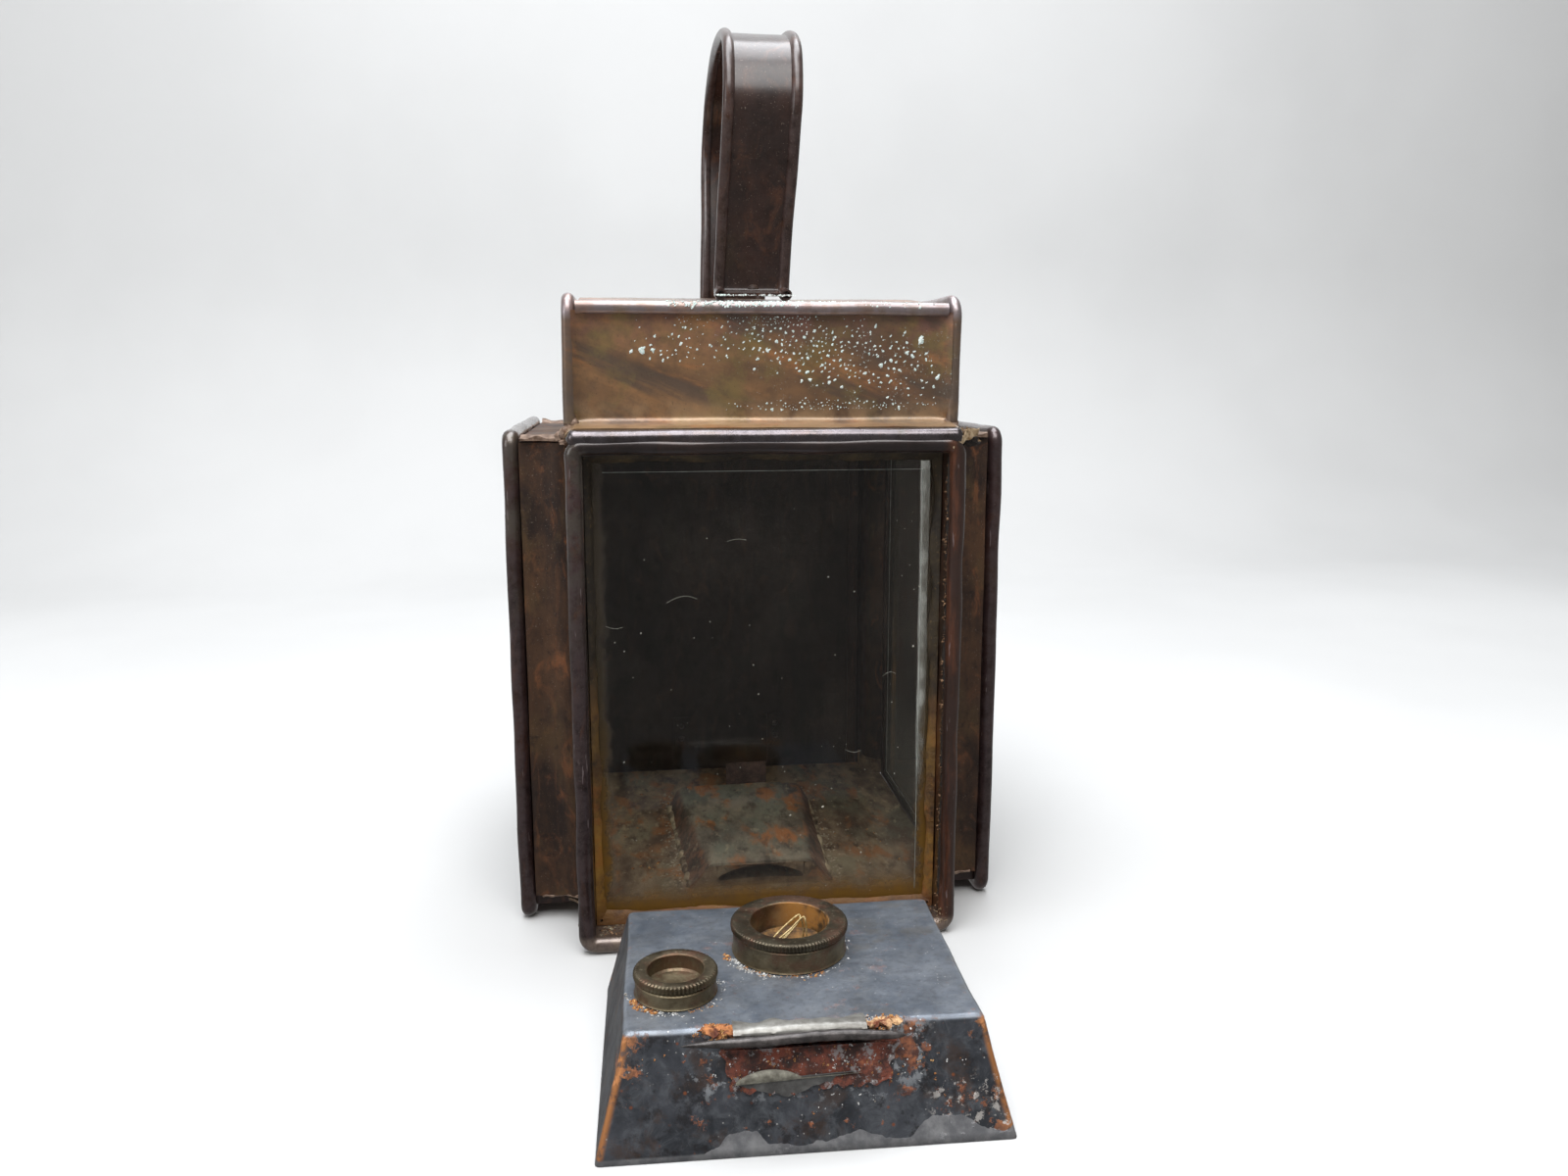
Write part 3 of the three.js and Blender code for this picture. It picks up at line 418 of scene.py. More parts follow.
def cement_finish(name):
    """Varnish-brown glazing cement, amber towards the sill."""
    p = Paint(name)
    low = p.ramp("Z", 15, 120, 1.0, 0.0)
    field = p.cloud(70, 7, 0.6, 0.35, 0.7)
    color = p.layers(
        p.mix(field, (0.02, 0.013, 0.006), (0.055, 0.034, 0.01)),
        (p.mix(field, (0.13, 0.055, 0.007), (0.38, 0.19, 0.022)), low, 0.9),
        ((0.22, 0.13, 0.05), p.cloud(800, 4, 0.6, 0.6, 0.72, shift=3.0), 0.4),
        ((0.014, 0.009, 0.005), p.cloud(130, 6, 0.65, 0.5, 0.66, shift=5.0), 0.75),
        ((0.3, 0.1, 0.012), p.cloud(95, 6, 0.65, 0.5, 0.62, shift=7.4), low, 0.6),
        ((0.09, 0.03, 0.006), p.ramp("Z", 7, 17, 0.75, 0.0)),
    )
    return p.finish(color, 0.6, 0.0, p.bump(p.noise(260, 7, 0.72, shift=1.0), 1.2, 0.9), coat=0.1)


def plain_finish(name, color, pale, rough, metal, scale=600):
    """Small trim: two tones of one colour with a fine rough surface."""
    p = Paint(name)
    tone = p.mix(p.cloud(scale, 6, 0.65, 0.35, 0.7), color, pale)
    return p.finish(tone, rough, metal, p.bump(p.noise(scale * 1.7, 5, 0.6, shift=2.0), 0.25, 0.7))


def crust_finish(name, dark, middle, light):
    """Grains whose tone differs from one to the next."""
    p = Paint(name)
    tone = p.add(p.times(p.attribute("tone"), 0.8), p.cloud(1500, 4, 0.6, 0.35, 0.7, 0.0, 0.2))
    color = p.mix(p.level(tone, 0.55, 0.95), p.mix(p.level(tone, 0.05, 0.5), dark, middle), light)
    return p.finish(color, 0.9, 0.0, p.bump(p.noise(2600, 5, 0.6, shift=2.0), 0.2, 0.8))


def glass_finish(name, haze, film_color, clear_color, stained):
    """Old plate glass: clear, a little grey-green, with dust, specks and a few scratches."""
    p = Paint(name)
    p.tree.nodes.remove(p.shader)
    facing = p.node("LayerWeight", "Facing", {"Blend": 0.5})
    pane = p.node("MixShader", 0, {
        0: p.level(p.math("POWER", facing, 5.0), 0.0, 1.0, 0.025, 0.8),
        1: p.node("BsdfTransparent", 0, {"Color": clear_color}),
        2: p.node("BsdfGlossy", 0, {"Roughness": 0.04}),
    })
    dots = p.times(p.level(p.cells(150, 0.13), 0.03, 0.05, 1.0, 0.0),
                   p.cloud(60, 3, 0.5, 0.53, 0.58, shift=7.5))
    amount = p.add(
        p.cloud(38, 2, 0.5, 0.42, 0.75, 0.25 * haze, haze, shift=2.3),
        p.ramp("Z", 12, 70, haze * 1.2, 0.0),
        p.times(dots, 0.6 if stained else 0.03),
        p.cloud(420, 2, 0.5, 0.7, 0.73, 0.0, 0.06, stretch=(1, 1, 0.05), shift=6.9),
        p.cloud(90, 6, 0.7, 0.6, 0.72, 0.0, 0.07, stretch=(1, 1, 0.4), shift=4.4),
    )
    amount = p.times(amount, p.level(p.math("POWER", facing, 3.0), 0.0, 1.0, 1.0, 9.0))
    color = p.mix(dots, film_color, (0.62, 0.6, 0.5))
    if stained:
        stain, stain_color = edge_stain(p)
        amount = p.add(amount, stain)
        color = p.mix(stain, color, stain_color)
    dust = p.node("MixShader", 0, {0: 0.5, 1: p.node("BsdfDiffuse", 0, {"Color": color}),
                                   2: p.node("BsdfTranslucent", 0, {"Color": color})})
    both = p.node("MixShader", 0, {0: amount, 1: pane, 2: dust})
    p.feed(p.tree.nodes["Material Output"].inputs["Surface"], both)
    return p.material


def edge_stain(p):
    """Amber varnish creeping from the rim of the front pane, strongest along the sill."""
    reach = 7.5 * MM
    ragged = p.cloud(90, 6, 0.65, 0.3, 0.7, -2.0 * MM, 2.0 * MM, shift=3.7)
    x, z = (p.math("ADD", p.axis(name), ragged) for name in "XZ")
    left = p.level(x, glass_low.x + 3 * MM, glass_low.x + reach, 1.0, 0.0)
    right = p.level(x, glass_high.x - reach, glass_high.x - 3 * MM)
    sill = p.level(z, glass_low.z + 4 * MM, glass_low.z + 2.2 * reach, 1.0, 0.0)
    rim = p.math("MAXIMUM", p.math("MAXIMUM", left, right), sill)
    color = p.mix(p.ramp("Z", 12, 110, 1.0, 0.0), (0.06, 0.042, 0.012), (0.34, 0.17, 0.02))
    return p.times(rim, p.ramp("Z", 20, 150, 1.0, 0.55), 0.85), color


COPPER = patina(
    "copper_patina", (0.024, 0.011, 0.01), (0.06, 0.027, 0.021), (0.14, 0.048, 0.02), (0.085, 0.055, 0.058),
    metal=0.6, rough=(0.32, 0.48), coat=0.85, coat_rough=0.16, with_front_wear_and_shade=True,
)
COVE_COPPER = patina(
    "cove_patina", (0.022, 0.01, 0.006), (0.092, 0.04, 0.015), (0.24, 0.08, 0.022), (0.3, 0.22, 0.2),
    metal=0.25, rough=(0.5, 0.7), streak=0.35, coat=0.12, coat_rough=0.4,
)
STRAP_COPPER = patina(
    "strap_patina", (0.012, 0.004, 0.002), (0.03, 0.01, 0.005), (0.09, 0.03, 0.01), (0.085, 0.055, 0.05),
    metal=0.1, rough=(0.52, 0.64), streak=0.15, coat=1.0, coat_rough=0.27, specular=0.15,
)
BEAD_COPPER = patina(
    "bead_patina", (0.06, 0.047, 0.048), (0.12, 0.101, 0.106), (0.17, 0.1, 0.07), (0.15, 0.132, 0.145),
    metal=0.95, rough=(0.22, 0.34), streak=0.0, coat=0.8, coat_rough=0.14,
)
BLACK_COPPER = patina(
    "blackened_copper", (0.018, 0.012, 0.01), (0.045, 0.028, 0.022), (0.08, 0.04, 0.022), (0.12, 0.08, 0.07),
    metal=0.3, rough=(0.6, 0.8), coat=0.0,
)
HOOD_COPPER = hood_patina("hood_patina")
TIN = tin_finish("tank_tin")
RUST = rust_finish("pull_rust")
FLOOR_TIN = floor_finish("floor_tin", (0.105, 0.066, 0.042), (0.33, 0.245, 0.15), (0.33, 0.14, 0.05))
DUCT_TIN = floor_finish("duct_tin", (0.12, 0.1, 0.07), (0.33, 0.29, 0.205), (0.46, 0.165, 0.04))
BRASS = brass_finish("old_brass")
CEMENT = cement_finish("amber_cement")
WINDOW = glass_finish("window_glass", 0.04, (0.2, 0.17, 0.14), (0.96, 0.95, 0.945), True)
SIDE_WINDOW = glass_finish("side_glass", 0.06, (0.17, 0.165, 0.14), (0.68, 0.69, 0.66), False)
VERDIGRIS = plain_finish("verdigris", (0.5, 0.64, 0.6), (0.88, 0.91, 0.88), 0.95, 0.0, 1500)
RUST_CRUST = crust_finish("rust_crust", (0.09, 0.028, 0.012), (0.36, 0.15, 0.045), (0.6, 0.36, 0.14))
SEAM_CRUST = crust_finish("seam_crust", (0.02, 0.012, 0.009), (0.11, 0.055, 0.025), (0.34, 0.2, 0.11))
WHITE_CRUST = crust_finish("white_crust", (0.16, 0.14, 0.12), (0.42, 0.42, 0.41), (0.8, 0.8, 0.78))
SCAB = plain_finish("orange_scab", (0.14, 0.035, 0.015), (0.75, 0.5, 0.26), 0.9, 0.0, 330)
RED_SCAB = plain_finish("red_scab", (0.08, 0.02, 0.01), (0.5, 0.2, 0.07), 0.9, 0.0, 330)
BED_SCALE = plain_finish("bed_scale", (0.035, 0.018, 0.008), (0.22, 0.11, 0.03), 0.9, 0.0, 260)
SOLDER = plain_finish("solder", (0.2, 0.16, 0.1), (0.55, 0.48, 0.34), 0.6, 0.2, 900)
TAN_SOLDER = plain_finish("tan_solder", (0.12, 0.07, 0.045), (0.33, 0.23, 0.17), 0.5, 0.2, 420)
BRIGHT_TIN = plain_finish("worn_tin", (0.14, 0.13, 0.115), (0.34, 0.335, 0.31), 0.38, 0.4, 130)
GREY_TIN = plain_finish("grey_tin", (0.1, 0.092, 0.072), (0.26, 0.25, 0.2), 0.5, 0.3, 300)
TONGUE_TIN = plain_finish("tongue_tin", (0.055, 0.053, 0.051), (0.12, 0.118, 0.113), 0.6, 0.3, 160)
STEEL = plain_finish("dark_steel", (0.03, 0.026, 0.025), (0.1, 0.088, 0.084), 0.36, 0.4, 300)
DUCT_SOLDER = plain_finish("duct_solder", (0.08, 0.05, 0.03), (0.62, 0.52, 0.33), 0.7, 0.1, 130)
TAB_TIN = plain_finish("tab_tin", (0.045, 0.03, 0.028), (0.12, 0.075, 0.065), 0.7, 0.1, 200)
TORN_SHEET = plain_finish("torn_sheet", (0.13, 0.075, 0.03), (0.56, 0.43, 0.28), 0.42, 0.3, 260)
# pale tone for the bevel lines: a painted highlight
BEVEL_HIGHLIGHT = plain_finish("bevel_highlight", (0.2, 0.21, 0.19), (0.4, 0.42, 0.38), 0.5, 0.0, 200)
DUST = plain_finish("dust", (0.4, 0.38, 0.3), (0.75, 0.73, 0.66), 0.9, 0.0, 1500)
# near-black: painted shade inside the torn hole and the open seam
PAINTED_SHADE_BLACK = plain_finish("painted_shade_black", (0.008, 0.006, 0.005), (0.03, 0.02, 0.014), 0.9, 0.0, 500)
WIRE = plain_finish("straw_wire", (0.3, 0.2, 0.07), (0.66, 0.52, 0.27), 0.45, 0.3, 900)


# --------------------------------------------------------------------------- mesh building
# A mesh is (vertices, faces) or (vertices, faces, marks); marks are named values at each vertex.


def piece(name, mesh, material, body, slot, stands_for=(), angle=35):
    """One mesh object on a body, in place of the CAD nodes it stands for."""
    verts, faces, marks = (*mesh, {})[:3]
    mesh = bpy.data.meshes.new(name)
    mesh.from_pydata([tuple(v) for v in verts], [], faces)
    mesh.validate()
    mesh.polygons.foreach_set("use_smooth", [True] * len(mesh.polygons))
    mesh.set_sharp_from_angle(angle=math.radians(angle))
    for mark, values in marks.items():
        layer = mesh.attributes.new(mark, "FLOAT", "POINT")
        layer.data.foreach_set("value", np.asarray(values, np.float32))
    mesh.materials.append(material)
    obj = bpy.data.objects.new(name, mesh)
    bpy.context.scene.collection.objects.link(obj)
    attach(obj, body)
    if stands_for:
        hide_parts(*stands_for)
    return obj


def rings_to_mesh(rings, closed=False, caps=True):
    """Skins a row of equal closed rings; returns vertices and outward faces."""
    count = len(rings[0])
    verts = [p for ring in rings for p in ring]
    faces = []
    for i in range(len(rings) if closed else len(rings) - 1):
        here, there = i * count, ((i + 1) % len(rings)) * count
        for j in range(count):
            k = (j + 1) % count
            faces.append((here + j, here + k, there + k, there + j))
    if caps and not closed:
        faces.append(tuple(reversed(range(count))))
        faces.append(tuple(range(len(verts) - count, len(verts))))
    return verts, faces


def combine(*parts):
    """Joins several meshes into one; a mark may be one value for a whole mesh."""
    verts, faces, marks = [], [], {}
    for part in parts:
        part_verts, part_faces, part_marks = (*part, {})[:3]
        shift = len(verts)
        for mark in set(marks) | set(part_marks):
            marks.setdefault(mark, [0.0] * shift)
            value = part_marks.get(mark, 0.0)
            marks[mark].extend(value if isinstance(value, list) else [value] * len(part_verts))
        verts.extend(part_verts)
        faces.extend(tuple(i + shift for i in face) for face in part_faces)
    return verts, faces, marks


def marked(mesh, **marks):
    return mesh[0], mesh[1], marks


def flipped(mesh, when=True):
    return (mesh[0], [f[::-1] for f in mesh[1]], *mesh[2:]) if when else mesh


def reshaped(mesh, move):
    """The same mesh with every vertex v moved to move(v)."""
    return ([move(Vector(v)) for v in mesh[0]], *mesh[1:])


def shaken(mesh, amount, scale, seed):
    return reshaped(mesh, lambda v: v + wavy(v, scale, seed) * amount * 2)


def circle(radius, sides, a=0.0, b=0.0):
    turns = [2 * math.pi * i / sides for i in range(sides)]
    return [(a + radius * math.cos(t), b + radius * math.sin(t)) for t in turns]


def rectangle(a0, a1, b0, b1):
    return [(a0, b0), (a1, b0), (a1, b1), (a0, b1)]


def heading(a, b):
    return Vector((b[0] - a[0], b[1] - a[1])).normalized()


def mitres(path, closed):
    """Left-hand mitre vector at each point of a flat path."""
    count = len(path)
    out = []
    for i, point in enumerate(path):
        before = heading(path[i - 1], point) if closed or i > 0 else None
        after = heading(point, path[(i + 1) % count]) if closed or i < count - 1 else None
        a, b = before or after, after or before
        scale = 1 / (1 + a.dot(b))
        out.append(Vector((-(a.y + b.y), a.x + b.x)) * scale)
    return out


def rounded(points, radius, steps, closed=False):
    """Replaces the corners of a flat path by arcs."""
    count = len(points)
    path = []
    for i, point in enumerate(points):
        if not closed and i in (0, count - 1):
            path.append(tuple(point))
            continue
        a, b = heading(points[i - 1], point), heading(point, points[(i + 1) % count])
        turn = math.atan2(a.x * b.y - a.y * b.x, a.dot(b))
        side = math.copysign(1, turn)
        centre = Vector(point) - a * radius * math.tan(abs(turn) / 2) + Vector((-a.y, a.x)) * radius * side
        spoke = Vector((a.y, -a.x)) * radius * side
        for k in range(steps + 1):
            c, s = math.cos(turn * k / steps), math.sin(turn * k / steps)
            path.append((centre.x + spoke.x * c - spoke.y * s, centre.y + spoke.x * s + spoke.y * c))
    return path


def finer(path, step, closed=False):
    """Adds points so that no stretch is longer than step."""
    out = []
    count = len(path)
    for i in range(count if closed else count - 1):
        a, b = Vector(path[i]), Vector(path[(i + 1) % count])
        pieces = max(1, math.ceil((b - a).length / step))
        out.extend(tuple(a.lerp(b, k / pieces)) for k in range(pieces))
    if not closed:
        out.append(tuple(path[-1]))
    return out


def even(outline, count):
    """Spaces points evenly round a closed outline."""
    points = [Vector(p) for p in outline]
    lengths = [0.0]
    for a, b in zip(points, points[1:] + points[:1]):
        lengths.append(lengths[-1] + (b - a).length)
    out = []
    j = 0
    for i in range(count):
        at = lengths[-1] * i / count
        while lengths[j + 1] < at:
            j += 1
        a, b = points[j], points[(j + 1) % len(points)]
        out.append(tuple(a.lerp(b, (at - lengths[j]) / (lengths[j + 1] - lengths[j]))))
    return out


def polygon_area(outline):
    return sum(a0 * b1 - a1 * b0 for (a0, b0), (a1, b1) in zip(outline, outline[1:] + outline[:1])) / 2


ORDER = {
    "x": lambda a, b, c: Vector((c, a, b)),
    "y": lambda a, b, c: Vector((b, c, a)),
    "z": lambda a, b, c: Vector((a, b, c)),
}


def sweep(section, path, axis, closed=False, swell=lambda i, p: 1.0, caps=True):
    """Carries a section (left of the path, along the axis) along a flat path."""
    rings = []
    for i, (point, normal) in enumerate(zip(path, mitres(path, closed))):
        grow = swell(i, point)
        rings.append([ORDER[axis](point[0] + normal.x * a * grow, point[1] + normal.y * a * grow, b)
                      for a, b in section])
    return rings_to_mesh(rings, closed, caps)


def ribbon(path, thickness):
    """Closed outline of a sheet bent along an open path."""
    half = thickness / 2
    sides = [[(p[0] + n.x * out, p[1] + n.y * out) for p, n in zip(path, mitres(path, False))]
             for out in (-half, half)]
    return sides[0] + sides[1][::-1]


def bar(outline, axis, stations):
    """Carries a closed outline straight along an axis through the given stations."""
    return rings_to_mesh([[ORDER[axis](a, b, c) for a, b in outline] for c in stations])


def spread(low, high, step):
    return list(np.linspace(low, high, max(2, math.ceil(abs(high - low) / step) + 1)))


def grid_sheet(rows, thickness):
    """Closed thin sheet over a grid of points, thickened along the average normal."""
    count = len(rows[0])
    top = [p for row in rows for p in row]
    normal = (rows[0][-1] - rows[0][0]).cross(rows[-1][0] - rows[0][0]).normalized()
    size = len(top)
    faces = []
    for i in range(len(rows) - 1):
        for j in range(count - 1):
            a, d = i * count + j, (i + 1) * count + j
            faces.append((a, a + 1, d + 1, d))
            faces.append((d + size, d + 1 + size, a + 1 + size, a + size))
    last = (len(rows) - 1) * count
    rim = [*range(count), *range(2 * count - 1, last + count, count)]
    rim += [*range(last + count - 2, last - 1, -1), *range(last - count, 0, -count)]
    for a, b in zip(rim, rim[1:] + rim[:1]):
        faces.append((b, a, a + size, b + size))
    return top + [p - normal * thickness for p in top], faces


def surface(across, up, point, thickness, first=0.0):
    """Thin sheet through point(u, v), u from first to 1 in across points, v from 0 to 1 in up points."""
    rows = [[point(u, v) for u in np.linspace(first, 1, across)] for v in np.linspace(0, 1, up)]
    return grid_sheet(rows, thickness)


def axes_of(normal):
    """Unit vectors: up along the normal, and two across it."""
    up = Vector(normal).normalized()
    side = up.orthogonal().normalized()
    return up, side, up.cross(side)


def crumbs(name, spots, material, body, slot, seed):
    """Low irregular grains: each spot is (centre, outward normal, radius, height)."""
    rng = random.Random(seed)
    sides = 9
    parts = []
    for centre, normal, radius, height in spots:
        up, side, other = axes_of(normal)
        squash, phase, tone = rng.uniform(0.5, 1.0), rng.uniform(0, 6.28), rng.random()
        reach = [rng.uniform(0.55, 1.25) for _ in range(sides)]
        rings = []
        for wide, lift in ((1.0, -0.3), (0.85, 0.45), (0.45, 1.0)):
            ring = []
            for k in range(sides):
                turn, r = phase + 2 * math.pi * k / sides, radius * wide * reach[k]
                offset = side * math.cos(turn) * r + other * math.sin(turn) * r * squash
                ring.append(Vector(centre) + offset + up * height * lift * rng.uniform(0.7, 1.2))
            rings.append(ring)
        parts.append(marked(rings_to_mesh(rings), tone=tone))
    return piece(name, combine(*parts), material, body, slot, angle=50)


def clustered(spots, seed, count=(1, 5), spread_by=1.3):
    """Breaks each round spot into a clump of smaller ones."""
    rng = random.Random(seed)
    out = []
    for centre, normal, radius, height in spots:
        _, side, other = axes_of(normal)
        for _ in range(rng.randint(*count)):
            turn, away = rng.uniform(0, 6.28), rng.uniform(0, spread_by) * radius
            part = radius * rng.uniform(0.3, 0.8)
            place = Vector(centre) + side * math.cos(turn) * away + other * math.sin(turn) * away
            out.append((place, normal, part, min(height, part * 0.6)))
    return out


def lumps(spots, seed):
    """Soft solder blobs: each spot is (centre, (rx, ry, rz))."""
    parts = []
    rows, sides = 9, 14
    for index, (centre, radii) in enumerate(spots):
        rings = []
        for i in range(rows):
            slope = math.pi * (0.06 + 0.88 * i / (rows - 1))
            ring = []
            for k in range(sides):
                turn = 2 * math.pi * k / sides
                wide = math.sin(slope)
                unit = Vector((wide * math.cos(turn), wide * math.sin(turn), -math.cos(slope)))
                grow = 1 + 0.5 * noise.noise(unit * 1.4 + Vector((seed, index, 0)))
                ring.append(Vector(centre) + Vector([u * r * grow for u, r in zip(unit, radii)]))
            rings.append(ring)
        parts.append(rings_to_mesh(rings))
    return combine(*parts)


def shards(centre, reach, count, length, toward, seed):
    """Jagged splinters of torn sheet standing out round a place."""
    rng = random.Random(seed)
    parts = []
    for _ in range(count):
        root = Vector(centre) + Vector([rng.uniform(-r, r) for r in reach])
        aim = (Vector(toward) + Vector([rng.uniform(-1, 1) for _ in range(3)])).normalized()
        across = aim.orthogonal().normalized()
        across.rotate(Matrix.Rotation(rng.uniform(0, 6.28), 3, aim))
        long, wide = length * rng.uniform(0.5, 1.2), length * rng.uniform(0.2, 0.45)
        thin = aim.cross(across) * 0.35 * MM
        verts = [root - across * wide, root + across * wide, root + thin, root + aim * long]
        parts.append((verts, [(0, 2, 1), (0, 1, 3), (1, 2, 3), (2, 0, 3)]))
    return combine(*parts)


def spline(points, steps):
    """Smooth curve through the points, several steps between each two."""
    out = []
    count = len(points)
    for i in range(count - 1):
        p0, p1 = points[max(i - 1, 0)], points[i]
        p2, p3 = points[i + 1], points[min(i + 2, count - 1)]
        for k in range(steps):
            t = k / steps
            out.append(0.5 * ((2 * p1) + (p2 - p0) * t + (2 * p0 - 5 * p1 + 4 * p2 - p3) * t * t
                              + (3 * p1 - p0 - 3 * p2 + p3) * t ** 3))
    out.append(points[-1])
    return out


def along(path):
    """Each point of a path in space with its number and its heading."""
    for i, p in enumerate(path):
        yield i, p, (path[min(i + 1, len(path) - 1)] - path[max(i - 1, 0)]).normalized()


def tube(points, radius, sides=10, steps=8):
    """Round wire along a smooth curve in space."""
    rings = []
    side = None
    for _, p, ahead in along(spline([Vector(p) for p in points], steps)):
        side = side or ahead.orthogonal().normalized()
        side = (side - ahead * side.dot(ahead)).normalized()
        other = ahead.cross(side)
        rings.append([p + (side * a + other * b) for a, b in circle(radius, sides)])
    return rings_to_mesh(rings)


def solder_line(name, points, radius, material, seed):
    """Lumpy bead of solder along a line of points."""
    path = spline([Vector(p) for p in points], 10)
    rings = []
    for i, p, ahead in along(path):
        _, side, other = axes_of(ahead)
        thick = radius * (0.75 + 0.9 * abs(noise.noise(Vector(p) * 180 + Vector((seed, 0, 0)))))
        if i in (0, len(path) - 1):
            thick *= 0.3
        rings.append([p + (side * a + other * b) for a, b in circle(thick, 10)])
    piece(name, rings_to_mesh(rings), material, BODY, "rusty_tin", angle=60)


# ------------------------------------------------------------------------------ window frames

WALLS = {"front": (0.0, BODY), "right": (90.0, BODY), "left": (-90.0, BODY), "door": (180.0, DOOR)}


def on_wall(wall, part):
    """Width, depth and height of a wall's part and the matrix from wall axes (across, inward, up)."""
    low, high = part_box(wall + part)
    turn = math.radians(WALLS[wall][0])
    middle, size = (low + high) / 2, high - low
    wide, deep = (size.y, size.x) if abs(math.sin(turn)) > 0.5 else (size.x, size.y)
    place = Matrix.Translation((middle.x, middle.y, low.z)) @ Matrix.Rotation(turn, 4, "Z")
    return wide, deep, size.z, place


def window_frame(wall, seed):
    """Rolled edge all round and the recessed jamb with its lip behind the pane."""
    wide, deep, high, place = on_wall(wall, "_frame")
    place = place @ Matrix.Translation((0, -deep / 2, 0))
    half = wide / 2
    path = rounded(rectangle(BEAD, high - BEAD, BEAD - half, half - BEAD), BEAD + 0.6 * MM, 6, True)
    swell = lambda i, p: 1 + 0.1 * (noise.noise(Vector((p[0], p[1], seed)) * 60) - 0.1)
    roll = sweep(circle(BEAD * 0.985, 20, 0, BEAD), finer(path, 2.5 * MM, True), "y", True, swell)
    inner, wall_out, lip, start = half - 2 * BEAD, 1.2 * MM, 3 * MM, 2.2 * MM
    section = [(0, start), (0, deep - SHEET), (lip, deep - SHEET), (lip, deep), (-wall_out, deep),
               (-wall_out, start)]
    mouth = finer(rectangle(2 * BEAD, high - 2 * BEAD, -inner, inner), 6 * MM, True)
    mesh = combine(marked(roll, roll=1.0), sweep(section[::-1], mouth, "y", True))
    mesh = shaken(reshaped(mesh, lambda v: place @ v), 0.22 * MM, 45, seed)
    node = wall + "_frame"
    floor_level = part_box(node)[0].z
    mesh = reshaped(mesh, lambda v: Vector((v.x, v.y, max(v.z, floor_level))))
    piece(node + "_detail", mesh, COPPER, WALLS[wall][1], "aged_copper", [node])


def pane_detail(wall, material):
    """Bevelled pane; the narrow bright edge of the bevel is cut as a facet of its own."""
    wide, deep, high, place = on_wall(wall, "_glass")
    half, back, bevel, drop = wide / 2, deep / 2, 8 * MM, 0.8 * MM
    steps = [(bevel, -back), (0.3 * MM, -back + drop), (0, -back + drop + 0.3 * MM), (0, back)]
    rings = []
    for inset, depth in steps:
        ring = rectangle(inset, high - inset, inset - half, half - inset)
        rings.append([place @ Vector((b, depth, a)) for a, b in ring])
    piece(wall + "_pane", rings_to_mesh(rings), material, BODY, "pane_glass", [wall + "_glass"], angle=2)


def bevel_line(wall, inset, sides):
    """Ground edge of the bevel: a thin pale line, a painted highlight where it catches the light."""
    low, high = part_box(wall + "_glass")
    if wall == "front":
        place = lambda a, z: Vector((a, low.y - 0.12 * MM, z))
        first, last = low.x + inset, high.x - inset
    else:
        outer, inner = (high.x, low.x) if wall == "right" else (low.x, high.x)
        place = lambda a, z: Vector((inner + (inner - outer) * 0.05, a, z))
        first, last = low.y + inset, high.y - inset
    bottom, top = low.z + inset, high.z - inset
    runs = {"top": (first, top, last, top), "left": (first, bottom, first, top),
            "right": (last, top, last, bottom), "foot": (last, bottom, first, bottom)}
    parts = []
    for side in sides:
        a0, z0, a1, z1 = runs[side]
        points = [place(a0 + (a1 - a0) * t / 8, z0 + (z1 - z0) * t / 8) for t in range(9)]
        parts.append(tube(points, 0.1 * MM, 6, 2))
    piece(wall + "_bevel_line", combine(*parts), BEVEL_HIGHLIGHT, BODY, "pane_glass", angle=60)


def cement_bead(wall, seed):
    """Wavy fillet of cement round a pane, wider towards the sill."""
    wide, deep, high, place = on_wall(wall, "_cement")
    path = finer(rectangle(0, high, -wide / 2, wide / 2), 2.2 * MM, True)
    width = 3.0 * MM
    section = [(0, -deep / 2), (width * 0.3, -deep * 0.4), (width * 0.8, deep * 0.1), (width, deep * 0.4),
               (width, deep / 2), (0, deep / 2)]

    def swell(i, p):
        rough = 0.42 * noise.noise(Vector((p[0], p[1], seed)) * 60)
        rough += 0.16 * noise.noise(Vector((p[1], p[0], seed)) * 420)
        return 0.9 + rough + 0.45 * max(0.0, 1 - p[0] / (22 * MM))

    mesh = reshaped(sweep(section[::-1], path, "y", True, swell), lambda v: place @ v)
    piece(wall + "_cement_bead", mesh, CEMENT, BODY, "cement", [wall + "_cement"])


for index, wall in enumerate(WALLS):
    window_frame(wall, 3.0 + index)
pane_detail("front", WINDOW)
pane_detail("left", SIDE_WINDOW)
pane_detail("right", SIDE_WINDOW)
bevel_line("front", 6.4 * MM, ("top", "right"))
bevel_line("left", 6.5 * MM, ("top", "left", "right", "foot"))
bevel_line("right", 6.5 * MM, ("top", "left", "right", "foot"))
for index, wall in enumerate(("front", "left", "right")):
    cement_bead(wall, 5.0 + index)


# ------------------------------------------------------------------- coves, curbs and roof seams

CORNERS = {"front_left": (-1, -1), "front_right": (1, -1), "rear_left": (-1, 1), "rear_right": (1, 1)}
floor_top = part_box("floor_plate")[1].z


